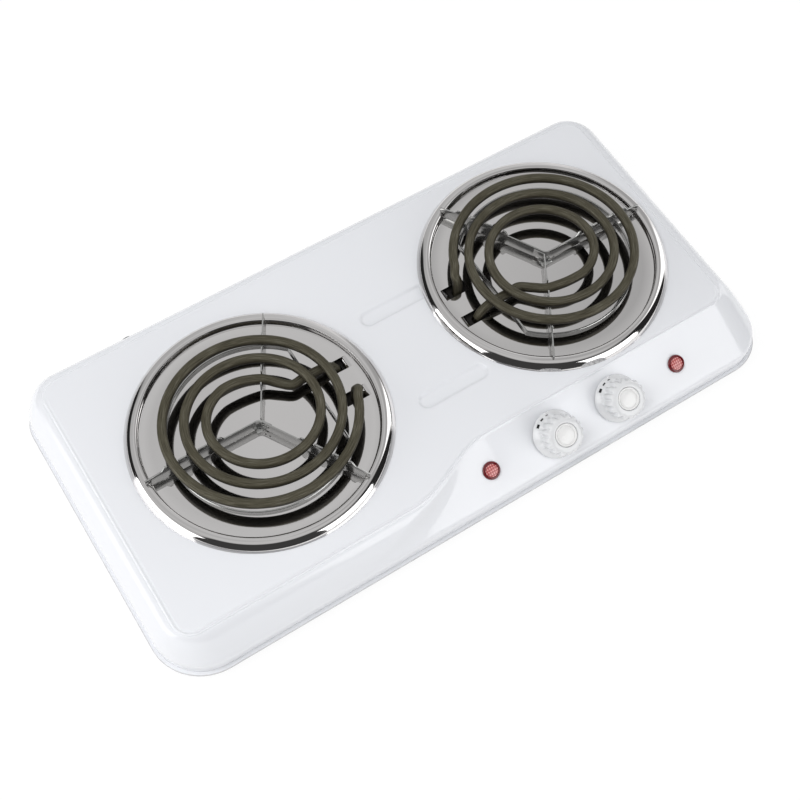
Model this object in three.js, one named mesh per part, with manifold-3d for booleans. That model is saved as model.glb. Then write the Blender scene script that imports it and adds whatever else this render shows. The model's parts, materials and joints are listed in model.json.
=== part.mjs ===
// Double hot plate with two tubular coils, drip bowls and a sloped control panel.
// Millimetres, +Z up, front towards -Y. The origin is the middle of the overall box, on the table.
import * as THREE from 'three';
import { mergeVertices } from 'three/addons/utils/BufferGeometryUtils.js';
import Module from 'manifold-3d';

const wasm = await Module();
wasm.setup();

// Driving dimensions
const seatGap = 0.3;             // gap kept between pieces that rest on or in each other
const wall = 1.2;                // pressed steel sheet of the housing and base plate

// heating coil
const tubeFlat = 3.2;            // half the tube's width across its flats
const coilStartRadius = 31.6;    // centre line of the first turn
const coilPitch = 14.3;          // growth of the radius in one turn
const coilTurns = 3;
const turnsFrom = 106;           // degrees from +X where the inner end has risen into the first turn
const growthFrom = 189;          // each turn grows over this part of its round
const growthSpan = 212;
const lastGrowth = 0.7;          // share of the pitch that the last turn grows by
const coilOval = 0.55;           // the turns are this much longer and shorter than round
const ovalAxis = 170;            // degrees from +X of their longer way
const coilOffset = -2;           // middle of the turns from the middle of the bowl, along X
const coilEndAngle = 1062;       // degrees from +X where the last turn turns down
const coilHeight = 15.6;         // centre line of the turns above the deck
const passGap = 0.6;             // between the inner end and the turns that it passes under
// inner end: distance in from the tube end, and depth under the pass
const entryBend = [[1.5, 8.6], [5, 3.8], [10, 0.8], [16, 0], [26, 0]];
// then round the middle: degrees, share of the first turn's radius, share of the rise
const innerRise = [[21, 1.1, 0], [36, 0.98, 0.16], [55, 0.965, 0.43], [73, 0.94, 0.72], [90, 0.955, 0.94]];
// outer end: distance outside its tube end, and depth under the turns
const exitBend = [[3.4, 1.7], [0.7, 5.2], [0, 10]];
const coilFacet = 0.24;          // rise of the turns' arcs over their straight pieces
const terminalX = 66.6;          // tube ends from the burner's middle, towards the other burner
const terminalY = 13;
const terminalDepth = 10.2;      // tube ends below the deck

// each element sits this far off the middle of its bowl, away from its tube ends
const elementShift = { left: 0, right: 2 };

// drip bowl
const bowlFloor = 80.2;          // radius of the flat floor
const bowlBand = 9.8;            // width of the rolled rim in plan
const bowlCrown = 6;             // top of the rolled rim above the deck
const bowlSheet = 0.8;
const slotLength = 18.6;         // opening for each tube end, along X
const slotWidth = 9.6;

// spider under the coil
const legCount = 3;
const legThickness = 1;
const legAside = 1.4;            // the first leg is welded to the side of another, this far off the middle
const legRoot = 1.3;             // inner end of a leg, from the middle
const legSink = 0.4;             // a leg's plain edge below its seat for the turns
const toothTop = 15.6;           // top of the teeth between turns, above the deck
const toothFlat = 2.2;           // outer teeth: their flat top and their sloping foot, past the notch
const toothFoot = 4.6;
const toothFlare = 0.3;          // a notch is this much wider at its mouth on each side
const notchCorner = 1.2;         // bevel at the foot of a notch, across and up
const notchRise = 1.6;
const hubRadius = 7;
const hubSheet = 0.8;
const ringRadius = 63;           // D-shaped ring, outside radius
const ringChord = 46;            // distance of its straight side from the centre
const ringSheet = 1.3;
const ringHeight = 2.4;

// housing
const bowlGap = 55.3;            // between the two bowls
const burnerStagger = 9.55;      // the right burner sits this much further back
const marginLeft = 37.35;        // bowl to the side of the body
const marginRight = 22.35;
const marginFront = 29.5;
const marginBack = 30.5;
const rimBottom = 13;            // lower edge of the housing above the table
const rimHeight = 12.5;          // upright band at the foot of the skirt
const skirtDrop = 24.5;          // deck down to the upright band
const skirtLeft = 15;            // plan widths of the sloping skirt
const skirtRight = 18.5;
const skirtFront = 15.5;
const skirtBack = 15.5;
const panelDepth = 36.3;         // plan depth of the sloped control panel
const deckCornerLeft = 13;
const deckCornerRight = 12;
const rimCornerFrontLeft = 35;
const rimCornerBackLeft = 27;
const rimCornerRight = 30;
const lipOut = 2.4;              // outward lip along the lower edge
const lipSheet = 1.2;
const plateSink = 0.4;           // base plate above the housing's lower edge
const embossLength = 55.5;
const embossWidth = 10.4;
const embossDepth = 1;
const embossBehind = 30.3;       // the two recesses, measured from the middle of both burners
const embossAhead = 46;
const embossShift = 7.5;         // and their shift to the right of that middle

// control panel
const controlPitch = 51.85;      // lamp, knob, knob, lamp
const controlEnd = 75.2;         // last lamp to the right side of the body
const controlDrop = 23.8;        // crease to the row of controls, along the slope
const bendStart = 60.9;          // where the deck edge starts to swing back, left of the first lamp
const bendLength = 71;
const bendLean = 40;             // the swing moves this much to the left by the foot of the skirt

// knob, thermostat and pilot lamp, all measured along the panel's normal
const shaftRadius = 3;
const shaftShort = 5.5;          // end of the shaft below the top of the grip
const bushRadius = 4.5;
const bushHeight = 5.4;
const nutRadius = 6.6;
const nutHeight = 2.4;
const thermostatWidth = 30;
const thermostatDepth = 14;
const thermostatHeight = 19;
const thermostatFloor = 3;       // back wall behind the shaft, and thickness of the side tabs
const tabLength = 3;
const tabHalfWidth = 4;
const knobLift = 0.9;
const skirtRadius = 16.6;
const skirtRim = 1.6;            // upright edge of the knob's skirt
const skirtWall = 2;             // sheet of the knob's hollow skirt, and its roof under the grip
const skirtRoof = 1.4;
const gripRadius = 14.2;
const gripWaist = 0.8;           // the grip is this much slimmer at its foot
const gripBase = 7;
const gripTop = 20.2;
const gripShoulder = 5;          // the grip's shoulder, then its round edge, below its top
const gripRound = 2.6;
const gripEdge = 0.8;
const gripTaper = 1.8;
const gripBevel = 1.1;
const indexHalfWidth = 0.8;      // raised mark on the knob's skirt
const indexInner = 2.2;
const indexOuter = 0.4;
const indexSink = 0.6;
const indexRise = 1.6;
const fluteCount = 16;
const fluteDepth = 0.9;
const capRadius = 8.9;
const capSheet = 1.2;
const capBevel = 0.7;            // bevelled edge of the cap, across and down
const capDrop = 0.5;
const capCrown = 0.1;
const lensRadius = 6.35;
const lensHeight = 2.2;
const lensBevel = 1.8;
const lensEdge = 0.8;            // upright edge of the lens
const lensStemRadius = 4.6;
const lensTail = 2;              // stem of the lens behind the panel
const lampRadius = 5.6;
const lampLength = 10;
const lampNose = 1.4;            // the lamp's rounded end is this much slimmer
const lampNoseLength = 2;

// underside
const footRadius = 11;
const footInsetX = 32.5;
const footInsetY = 32;
const screwRadius = 1.9;
const screwHeadRadius = 4.2;
const screwHeadHeight = 2.3;
const screwSink = 5;             // depth of the recess for the screw head
const headPlay = 0.5;            // recess beyond the screw head, all round
const footBevel = 1;
const postRadius = 4;
const postBite = 12;             // screw length inside the post
const ventLength = 60;
const ventWidth = 4;
const ventPitch = 13;
const ventRows = 4;

// burner mounting, below the deck
const bracketWidth = 28;
const bracketDrop = 14;
const bracketInner = 46;         // upright nearer the burner's middle
const bracketRoom = 4;           // upright beyond the terminal block
const bracketFlange = 14;        // flanges under the deck, inner and outer
const outerFlange = 12;
const blockLength = 22;
const blockWidth = 42;
const blockHeight = 8.8;
const channelHalfWidth = 4;      // groove along the top of the terminal block
const channelDepth = 3;
const hubScrewRadius = 2;
const hubScrewHead = 4;
const hubHeadHeight = 2.4;
const hubHeadEdge = 1.4;

// supply
const glandX = -151;
const glandHeight = 19.6;
const glandRadius = 6.2;
const glandOut = 5.9;            // beyond the back of the body
const glandNeck = 3.9;
const glandBore = 3.1;
const glandLedge = 0.8;          // flanges on both sides of the sheet, over the neck
const glandTail = 2.4;
const glandBevel = 1;
const mainsAside = 4;            // mains terminal block: to the right of the gland
const mainsInset = 34;           // and in from the back of the body
const mainsLength = 30;
const mainsWidth = 16;
const mainsHeight = 11;
const mainsPitch = 9;            // its six wells
const wellAside = 3.5;
const wellRadius = 2.4;
const wellDepth = 4;
const earthAside = 36;           // earth screw to the right of the block
const innerWay = 6;              // the mains block's leads leave it at these distances from its middle
const outerWay = 11;
const leadRadius = 1.2;
const leadBend = 9;
const leadLift = 8;              // leads passing over those on the base plate
const leadStub = 3;              // straight start of a lead at a terminal
const entryHeight = 4;           // leads enter the mains block this far above the plate
const tagAside = 8;              // thermostat's tags, to the side and up
const tagUp = 3;
const lampTagAside = 11;
const lampStub = 4;
const riseAhead = 32;            // leads start to rise this far behind the controls
const blockApproach = 16;        // and this far before a burner's terminal block
const blockStub = 4;
const blockEntry = 9;            // leads enter that block this far below the deck
const laneSouth = -52;           // lanes of the leads along the base plate
const laneNorth = 58;
const laneStepSouth = 6;
const laneStepNorth = 9;
const laneLead = 20;             // a lane ends this far before the lead turns off

// What follows from them
const rad = THREE.MathUtils.degToRad;
const bowlRadius = bowlFloor + bowlBand;
const bowlSeat = seatGap;                           // underside of the bowl above the deck
const floorTop = bowlSeat + bowlSheet;

const bodyLength = marginLeft + 4 * bowlRadius + bowlGap + marginRight;
const bodyWidth = marginFront + 2 * bowlRadius + marginBack;
const side = bodyLength / 2;
const edge = bodyWidth / 2;
const deckTop = rimBottom + rimHeight + skirtDrop;
const leftBurner = new THREE.Vector2(-side + marginLeft + bowlRadius, -edge + marginFront + bowlRadius);
const rightBurner = new THREE.Vector2(leftBurner.x + 2 * bowlRadius + bowlGap, leftBurner.y + burnerStagger);

const panelTilt = Math.atan2(skirtDrop, panelDepth);
const panelSheet = wall * (Math.sin(panelTilt) + Math.cos(panelTilt));
const controlY = -edge + panelDepth - controlDrop * Math.cos(panelTilt);
const controlZ = deckTop - controlDrop * Math.sin(panelTilt);
const controlX = [3, 2, 1, 0].map((step) => side - controlEnd - step * controlPitch);
const isLamp = (i) => i === 0 || i === controlX.length - 1;

const footHeight = rimBottom + plateSink;
const plateTop = footHeight + wall;
const feet = [[-1, -1], [1, -1], [1, 1], [-1, 1]].map(
  ([sx, sy]) => new THREE.Vector2(sx * (side - footInsetX), sy * (edge - footInsetY)));
const postFoot = plateTop + seatGap;

// Materials
const paint = (color, roughness, metalness) =>
  new THREE.MeshStandardMaterial({ color, roughness, metalness });
const enamel = paint(0xeceef2, 0.22, 0);
const zinc = paint(0xb9bcc0, 0.42, 0.9);
const chrome = paint(0xd6d6d8, 0.06, 1);
const sheath = paint(0x55564a, 0.45, 0.55);
const brightStrip = paint(0xc9cacb, 0.28, 0.95);
const screwSteel = paint(0xa8abae, 0.35, 0.9);
const ceramic = paint(0xe7dfcf, 0.6, 0);
const phenolic = paint(0x2a2623, 0.5, 0);
const knobWhite = paint(0xf1f1f0, 0.25, 0);
const capWhite = paint(0xece9e4, 0.3, 0);
const lensRed = paint(0xa01c22, 0.12, 0);
const lampAmber = paint(0xd8c9a8, 0.5, 0);
const rubber = paint(0x1d1d1f, 0.8, 0);
const insulation = {
  live: paint(0x5b3a24, 0.5, 0),
  neutral: paint(0x2c5aa8, 0.5, 0),
  lamp: paint(0x9a9a98, 0.5, 0),
};

// Solids: making, joining and cutting
function solid(geometry) {
  const bare = geometry.index ? geometry.toNonIndexed() : geometry.clone();
  bare.deleteAttribute('normal');
  bare.deleteAttribute('uv');
  const welded = mergeVertices(bare, 1e-4);
  const triangles = [];
  const index = welded.index.array;
  for (let i = 0; i < index.length; i += 3) {
    const [a, b, c] = [index[i], index[i + 1], index[i + 2]];
    if (a !== b && b !== c && c !== a) triangles.push(a, b, c);
  }
  return new wasm.Manifold(new wasm.Mesh({
    numProp: 3,
    vertProperties: new Float32Array(welded.attributes.position.array),
    triVerts: new Uint32Array(triangles),
  }));
}

function geometryOf(manifold) {
  const mesh = manifold.getMesh();
  const geometry = new THREE.BufferGeometry();
  geometry.setAttribute('position', new THREE.BufferAttribute(new Float32Array(mesh.vertProperties), 3));
  geometry.setIndex(new THREE.BufferAttribute(new Uint32Array(mesh.triVerts), 1));
  return geometry;
}

const join = (first, ...rest) => rest.reduce((sum, piece) => sum.add(piece), first);
const cut = (first, ...rest) => rest.reduce((sum, piece) => sum.subtract(piece), first);

function prism(shape, low, high, curveSegments = 12) {
  const depth = high - low;
  const geometry = new THREE.ExtrudeGeometry(shape, { depth, bevelEnabled: false, curveSegments });
  return solid(geometry.translate(0, 0, low));
}

// a round piece about Z from a closed profile of [radius, height] pairs, in either order
function turned(profile, segments = 24) {
  const points = [...profile, profile[0]].map(([r, z]) => new THREE.Vector2(r, z));
  if (THREE.ShapeUtils.area(points) < 0) points.reverse();
  return solid(new THREE.LatheGeometry(points, segments).rotateX(Math.PI / 2));
}

const rod = (radius, low, high, segments = 20) =>
  turned([[0, low], [radius, low], [radius, high], [0, high]], segments);

function block(x0, x1, y0, y1, z0, z1) {
  const box = new THREE.BoxGeometry(x1 - x0, y1 - y0, z1 - z0);
  return solid(box.translate((x0 + x1) / 2, (y0 + y1) / 2, (z0 + z1) / 2));
}

function stadium(length, width, x = 0, y = 0) {
  const half = (length - width) / 2;
  const shape = new THREE.Shape();
  shape.absarc(x + half, y, width / 2, -Math.PI / 2, Math.PI / 2);
  shape.absarc(x - half, y, width / 2, Math.PI / 2, 3 * Math.PI / 2);
  return shape;
}

function moved(piece, matrix) {
  return solid(geometryOf(piece).applyMatrix4(matrix));
}

// side walls between rings of equal count, closed by a flat cap at each end
function loft(rings) {
  const count = rings[0].length;
  const positions = rings.flat().flatMap((p) => [p.x, p.y, p.z]);
  const faces = [];
  for (let level = 0; level + 1 < rings.length; level++) {
    for (let i = 0; i < count; i++) {
      const a = level * count + i;
      const b = level * count + (i + 1) % count;
      faces.push(a, b, b + count, a, b + count, a + count);
    }
  }
  const flat = (ring) => ring.map((p) => new THREE.Vector2(p.x, p.y));
  const top = (rings.length - 1) * count;
  for (const [a, b, c] of THREE.ShapeUtils.triangulateShape(flat(rings[0]), [])) faces.push(c, b, a);
  for (const [a, b, c] of THREE.ShapeUtils.triangulateShape(flat(rings.at(-1)), [])) {
    faces.push(top + a, top + b, top + c);
  }
  const geometry = new THREE.BufferGeometry();
  geometry.setAttribute('position', new THREE.Float32BufferAttribute(positions, 3));
  geometry.setIndex(faces);
  return solid(geometry);
}

// a tube along a chain of points, its section kept upright where the chain runs level
function sweep(points, section) {
  const frames = { tangents: [], normals: [], binormals: [] };
  const heading = at(1, 0, 0);
  points.forEach((point, i) => {
    const [before, after] = [points[Math.max(i - 1, 0)], points[Math.min(i + 1, points.length - 1)]];
    const along = after.clone().sub(before).normalize();
    const level = at(along.x, along.y, 0);
    if (level.length() > 0.3) heading.copy(level.normalize());
    const right = at(heading.y, -heading.x, 0);
    frames.tangents.push(along);
    frames.binormals.push(right);
    frames.normals.push(new THREE.Vector3().crossVectors(right, along).normalize());
  });
  const path = new THREE.Curve();
  path.getSpacedPoints = () => points;
  path.computeFrenetFrames = () => frames;
  const steps = points.length - 1;
  const shape = new THREE.Shape(section);
  return solid(new THREE.ExtrudeGeometry(shape, { steps, extrudePath: path, bevelEnabled: false }));
}

const smooth = (points, parts) =>
  new THREE.CatmullRomCurve3(points, false, 'centripetal').getPoints(parts * (points.length - 1));

// straight runs with rounded corners between them
function route(points, bend) {
  const chain = [points[0]];
  for (let i = 1; i + 1 < points.length; i++) {
    const back = points[i - 1].clone().sub(points[i]);
    const on = points[i + 1].clone().sub(points[i]);
    const reach = Math.min(bend, back.length() * 0.45, on.length() * 0.45);
    const from = points[i].clone().addScaledVector(back.normalize(), reach);
    const to = points[i].clone().addScaledVector(on.normalize(), reach);
    const middle = from.clone().add(to).multiplyScalar(0.25).addScaledVector(points[i], 0.5);
    chain.push(from, middle, to);
  }
  return [...chain, points.at(-1)];
}

function polygon(flat, sides) {
  const corner = flat / Math.cos(Math.PI / sides);
  return Array.from({ length: sides }, (_, i) => {
    const angle = (i + 0.5) * 2 * Math.PI / sides;
    return new THREE.Vector2(corner * Math.cos(angle), corner * Math.sin(angle));
  });
}

const at = (x, y, z) => new THREE.Vector3(x, y, z);

const product = new THREE.Group();

function place(group, name, piece, material) {
  const mesh = new THREE.Mesh(piece.isBufferGeometry ? piece : geometryOf(piece), material);
  mesh.name = name;
  group.add(mesh);
  return mesh;
}

// Housing
// One closed plan outline of the housing: fall is 0 at the deck and 1 at the upright band.
// round is how far a plain skirt has spread there, lean the same for the flatter front skirt.
const skirtLevels = [
  { fall: 0, round: 0, lean: 0 },
  { fall: 0.06, round: 0.24, lean: 0.12 },
  { fall: 0.2, round: 0.48, lean: 0.33 },
  { fall: 0.45, round: 0.71, lean: 0.6 },
  { fall: 0.72, round: 0.88, lean: 0.83 },
  { fall: 1, round: 1, lean: 1 },
];
const cornerSteps = 7;
const bendSteps = 10;

function outline({ fall, round, lean }, grow, z) {
  const west = -side + skirtLeft * (1 - round) - grow;
  const east = side - skirtRight * (1 - round) + grow;
  const north = edge - skirtBack * (1 - round) + grow;
  const southLeft = -edge + skirtFront * (1 - lean) - grow;
  const southRight = -edge + panelDepth * (1 - fall) - grow;
  const cornerFrontLeft = THREE.MathUtils.lerp(deckCornerLeft, rimCornerFrontLeft, round) + grow;
  const cornerBackLeft = THREE.MathUtils.lerp(deckCornerLeft, rimCornerBackLeft, round) + grow;
  const cornerRight = THREE.MathUtils.lerp(deckCornerRight, rimCornerRight, round) + grow;
  const ring = [];
  const corner = (x, y, radius, from) => {
    for (let i = 0; i <= cornerSteps; i++) {
      const angle = rad(from + 90 * i / cornerSteps);
      ring.push(at(x + radius * Math.cos(angle), y + radius * Math.sin(angle), z));
    }
  };
  corner(west + cornerFrontLeft, southLeft + cornerFrontLeft, cornerFrontLeft, 180);
  const bendFrom = controlX[0] - bendStart - bendLean * fall;
  for (let i = 0; i <= bendSteps; i++) {
    const part = i / bendSteps;
    const swing = (1 - Math.cos(Math.PI * part)) / 2;
    ring.push(at(bendFrom + bendLength * part, THREE.MathUtils.lerp(southLeft, southRight, swing), z));
  }
  corner(east - cornerRight, southRight + cornerRight, cornerRight, 270);
  corner(east - cornerRight, north - cornerRight, cornerRight, 0);
  corner(west + cornerBackLeft, north - cornerBackLeft, cornerBackLeft, 90);
  return ring;
}

const foot = skirtLevels.at(-1);
const deckLevels = (grow, drop) => [...skirtLevels].reverse().map(
  (level) => outline(level, grow, deckTop - drop - skirtDrop * level.fall));

const panelPlace = (x) => new THREE.Matrix4().makeTranslation(x, controlY, controlZ)
  .multiply(new THREE.Matrix4().makeRotationX(panelTilt));

function embosses(extra) {
  const middleX = (leftBurner.x + rightBurner.x) / 2 + embossShift;
  const middleY = (leftBurner.y + rightBurner.y) / 2;
  const depth = embossDepth + extra;
  return [embossBehind, -embossAhead].map((offset) => prism(
    stadium(embossLength + 2 * extra, embossWidth + 2 * extra, middleX, middleY + offset),
    deckTop - depth, deckTop + 1, 8));
}

const elementPlace = (left) => new THREE.Matrix4()
  .makeTranslation(left ? leftBurner.x : rightBurner.x, left ? leftBurner.y : rightBurner.y, deckTop)
  .multiply(new THREE.Matrix4().makeRotationZ(left ? 0 : Math.PI))
  .multiply(new THREE.Matrix4().makeTranslation(left ? -elementShift.left : -elementShift.right, 0, 0));

function topHousing() {
  const outside = cut(loft([
    outline(foot, lipOut, rimBottom),
    outline(foot, lipOut, rimBottom + lipSheet),
    outline(foot, 0, rimBottom + lipSheet),
    ...deckLevels(0, 0),
  ]), ...embosses(0));
  const inside = cut(loft([
    outline(foot, -wall, rimBottom - 1),
    ...deckLevels(-wall, wall),
  ]), ...embosses(wall));
  const posts = feet.map((p) => cut(
    rod(postRadius, postFoot, deckTop, 16),
    rod(screwRadius + seatGap, postFoot - 1, plateTop + postBite + 1, 12))
    .translate(p.x, p.y, 0).intersect(outside));
  const openings = [];
  for (const left of [true, false]) {
    const blockReach = blockLength / 2 + seatGap;
    openings.push(moved(join(
      block(terminalX - blockReach, terminalX + blockReach, -blockWidth / 2, blockWidth / 2, -2 * wall, 1),
      rod(hubScrewRadius + seatGap, -2 * wall, 1, 12)), elementPlace(left)));
  }
  controlX.forEach((x, i) => {
    const radius = (isLamp(i) ? lensStemRadius : bushRadius) + seatGap;
    openings.push(moved(rod(radius, -3 * panelSheet, panelSheet, 24), panelPlace(x)));
  });
  openings.push(moved(rod(glandNeck + seatGap, -3 * wall, 3 * wall, 20), new THREE.Matrix4()
    .makeTranslation(glandX, edge, glandHeight).multiply(new THREE.Matrix4().makeRotationX(-Math.PI / 2))));
  return cut(join(cut(outside, inside), ...posts), ...openings);
}

place(product, 'top_housing', topHousing(), enamel);

function basePlate() {
  const inset = -(wall + seatGap);
  let plate = loft([outline(foot, inset, footHeight), outline(foot, inset, plateTop)]);
  for (const p of feet) {
    plate = cut(plate, rod(screwRadius + seatGap, footHeight - 1, plateTop + 1, 12).translate(p.x, p.y, 0));
  }
  for (const burner of [leftBurner, rightBurner]) {
    for (let row = 0; row < ventRows; row++) {
      const y = burner.y + (row - (ventRows - 1) / 2) * ventPitch;
      plate = cut(plate, prism(stadium(ventLength, ventWidth, burner.x, y), footHeight - 1, plateTop + 1, 3));
    }
  }
  return plate;
}

place(product, 'base_plate', basePlate(), zinc);

const cornerNames = ['front_left', 'front_right', 'back_right', 'back_left'];
feet.forEach((p, i) => {
  const padding = turned([
    [0, 0], [footRadius - 2 * footBevel, 0], [footRadius - footBevel, footBevel],
    [footRadius, footHeight], [0, footHeight]], 24);
  const drilled = cut(padding, rod(screwHeadRadius + headPlay, -1, screwSink, 16),
    rod(screwRadius + seatGap, 0, footHeight + 1, 12));
  place(product, `foot_${cornerNames[i]}`, drilled, rubber).position.set(p.x, p.y, 0);
  const headTop = screwSink - seatGap;
  const screw = turned([
    [0, headTop - screwHeadHeight], [screwHeadRadius * 0.6, headTop - screwHeadHeight],
    [screwHeadRadius, headTop - screwHeadHeight / 2], [screwHeadRadius, headTop],
    [screwRadius, headTop], [screwRadius, plateTop + postBite], [0, plateTop + postBite]], 16);
  place(product, `foot_screw_${cornerNames[i]}`, screw, screwSteel).position.set(p.x, p.y, 0);
});

// Burners
// Each burner is built with its tube ends towards +X and Z = 0 on the deck.
// The right one is turned half round.
const passHeight = coilHeight - 2 * tubeFlat - passGap;
const dive = coilHeight - passHeight;

function coilRadius(angle) {
  const turn = Math.floor((angle - growthFrom) / 360) + 1;
  const grown = THREE.MathUtils.smoothstep(angle - growthFrom - 360 * (turn - 1), 0, growthSpan);
  const share = turn < coilTurns ? grown : grown * lastGrowth;
  return coilStartRadius + coilPitch * (Math.max(turn, 0) + (turn > 0 ? share - 1 : 0))
    + coilOval * Math.cos(2 * rad(angle - ovalAxis));
}

function coilPath() {
  const polar = (radius, angle, z) => at(radius * Math.cos(rad(angle)), radius * Math.sin(rad(angle)), z);
  const turn = (angle) => polar(coilRadius(angle), angle, coilHeight).add(at(coilOffset, 0, 0));
  const entry = smooth([
    at(terminalX, terminalY, -terminalDepth), at(terminalX, terminalY, -terminalDepth / 2),
    ...entryBend.map(([inward, below]) => at(terminalX - inward, terminalY, passHeight - below)),
    ...innerRise.map(([angle, share, lift]) =>
      polar(coilStartRadius * share, angle, passHeight + dive * lift)),
    turn(turnsFrom), turn(turnsFrom + 12)], 3).slice(0, -4);
  const turns = [];
  for (let angle = turnsFrom; angle < coilEndAngle;) {
    turns.push(turn(angle));
    angle += 2 * THREE.MathUtils.radToDeg(Math.acos(1 - coilFacet / coilRadius(angle)));
  }
  const exit = smooth([
    turn(coilEndAngle),
    ...exitBend.map(([aside, below]) => at(terminalX, -terminalY - aside, coilHeight - below)),
    at(terminalX, -terminalY, -terminalDepth)], 3);
  return [...entry, ...turns, ...exit];
}

const coilLine = coilPath();
const coil = sweep(coilLine, polygon(tubeFlat, 8));

function dripBowl(shift) {
  const crownRadius = bowlFloor + bowlBand * 0.46;
  const skin = [
    [bowlFloor, floorTop], [bowlFloor + 0.5, bowlCrown * 0.5], [bowlFloor + 1.3, bowlCrown * 0.82],
    [bowlFloor + 2.8, bowlCrown * 0.97], [crownRadius, bowlCrown],
    [bowlFloor + bowlBand * 0.7, bowlCrown * 0.86], [bowlRadius - 1.3, bowlCrown * 0.55],
    [bowlRadius - 0.3, bowlCrown * 0.25], [bowlRadius, bowlSeat],
  ];
  const under = [
    [bowlRadius - bowlSheet, bowlSeat], [bowlRadius - 2.1, bowlCrown * 0.44],
    [bowlFloor + bowlBand * 0.64, bowlCrown * 0.72], [crownRadius, bowlCrown - bowlSheet],
    [bowlFloor + 2.3, bowlCrown * 0.76], [bowlFloor + 1.3, bowlCrown * 0.42],
    [bowlFloor + bowlSheet, bowlSeat],
  ];
  const bowl = turned([[0, bowlSeat], ...under.reverse(), ...skin.reverse(), [0, floorTop]], 44);
  const slots = [1, -1].map((way) => block(terminalX - slotLength / 2, terminalX + slotLength / 2,
    way * terminalY - slotWidth / 2, way * terminalY + slotWidth / 2, 0, floorTop + 1));
  return cut(bowl, ...slots, rod(hubScrewRadius + seatGap, 0, floorTop + 1, 12).translate(-shift, 0, 0));
}

const legAngles = Array.from({ length: legCount }, (_, i) => 60 + i * 360 / legCount);
const legTop = coilHeight - tubeFlat - seatGap;

// where the coil crosses a leg: distance out along the leg, and height above the deck
function crossings(angle, aside) {
  const out = at(Math.cos(rad(angle)), Math.sin(rad(angle)), 0);
  const across = at(-out.y, out.x, 0);
  const found = [];
  for (let i = 0; i + 1 < coilLine.length; i++) {
    const [a, b] = [coilLine[i], coilLine[i + 1]];
    const [before, after] = [a.dot(across) - aside, b.dot(across) - aside];
    const crossing = a.clone().lerp(b, before / (before - after));
    if (before * after <= 0 && crossing.dot(out) > 0) found.push([crossing.dot(out), crossing.z]);
  }
  return found.sort((p, q) => p[0] - q[0]);
}

function supportLeg(angle, aside, shift) {
  const bowlWall = bowlFloor + shift * Math.cos(rad(angle));
  const outer = bowlWall + bowlBand * 0.33;
  const halfNotch = tubeFlat + 2 * seatGap;
  const shape = new THREE.Shape();
  shape.moveTo(legRoot, floorTop + hubSheet + seatGap);
  shape.lineTo(hubRadius + seatGap, floorTop + hubSheet + seatGap);
  shape.lineTo(hubRadius + seatGap, floorTop);
  shape.lineTo(ringRadius - ringSheet - seatGap, floorTop);
  shape.lineTo(ringRadius - ringSheet - seatGap, floorTop + ringHeight + 2 * seatGap);
  shape.lineTo(ringRadius + seatGap, floorTop + ringHeight + 2 * seatGap);
  shape.lineTo(ringRadius + seatGap, floorTop);
  shape.lineTo(bowlWall - seatGap, floorTop);
  shape.lineTo(bowlWall - seatGap, bowlCrown + seatGap);
  shape.lineTo(outer, bowlCrown + seatGap);
  shape.lineTo(outer, legTop - notchRise);
  const marks = crossings(angle, aside);
  const last = marks.at(-1)[0] + halfNotch;
  shape.lineTo(last + toothFoot, legTop - legSink);
  shape.lineTo(last + toothFlat, toothTop);
  for (let i = marks.length - 1; i >= 0; i--) {
    const [radius, height] = marks[i];
    const depth = height - tubeFlat - seatGap;
    shape.lineTo(radius + halfNotch + toothFlare, toothTop);
    shape.lineTo(radius + halfNotch, depth + notchRise);
    shape.lineTo(radius + halfNotch - notchCorner, depth);
    shape.lineTo(radius - halfNotch + notchCorner, depth);
    shape.lineTo(radius - halfNotch, depth + notchRise);
    shape.lineTo(radius - halfNotch - toothFlare, toothTop);
  }
  const first = marks[0][0] - halfNotch;
  shape.lineTo(first - toothFlat, toothTop);
  shape.lineTo(first - toothFoot, legTop - legSink);
  shape.lineTo(legRoot, legTop - legSink);
  return prism(shape, -legThickness / 2, legThickness / 2)
    .rotate([90, 0, 0]).translate(0, aside, 0).rotate([0, 0, angle]);
}

function supportRing() {
  const ring = (radius, chord) => {
    const half = Math.acos(chord / radius);
    return [radius, half, 2 * Math.PI - half];
  };
  const shape = new THREE.Shape();
  shape.absarc(0, 0, ...ring(ringRadius, ringChord), false);
  const hole = new THREE.Path();
  hole.absarc(0, 0, ...ring(ringRadius - ringSheet, ringChord - ringSheet), false);
  shape.holes.push(hole);
  return prism(shape, floorTop + seatGap, floorTop + seatGap + ringHeight, 30);
}

function mountingBracket() {
  const floorLow = -bracketDrop;
  const half = bracketWidth / 2;
  const nearX = -bracketInner;
  const farX = terminalX + blockLength / 2 + bracketRoom;
  const deckUnder = -wall;
  const strap = join(
    block(nearX - bracketFlange, nearX, -half, half, deckUnder - wall, deckUnder),
    block(nearX - wall, nearX, -half, half, floorLow, deckUnder),
    block(nearX - wall, farX + wall, -half, half, floorLow, floorLow + wall),
    block(farX, farX + wall, -half, half, floorLow, deckUnder),
    block(farX, farX + outerFlange, -half, half, deckUnder - wall, deckUnder));
  return cut(strap, rod(hubScrewRadius + seatGap, floorLow - 1, floorLow + wall + 1, 12));
}

function terminalBlock() {
  const low = -bracketDrop + wall;
  const bore = tubeFlat / Math.cos(Math.PI / 8) + seatGap;
  const body = block(terminalX - blockLength / 2, terminalX + blockLength / 2,
    -blockWidth / 2, blockWidth / 2, low, low + blockHeight);
  const channel = block(terminalX - blockLength, terminalX + blockLength,
    -channelHalfWidth, channelHalfWidth, low + blockHeight - channelDepth, low + blockHeight + 1);
  const bores = [1, -1].map((way) =>
    rod(bore, -terminalDepth - seatGap, low + blockHeight + 1, 16).translate(terminalX, way * terminalY, 0));
  return cut(body, channel, ...bores);
}

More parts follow.
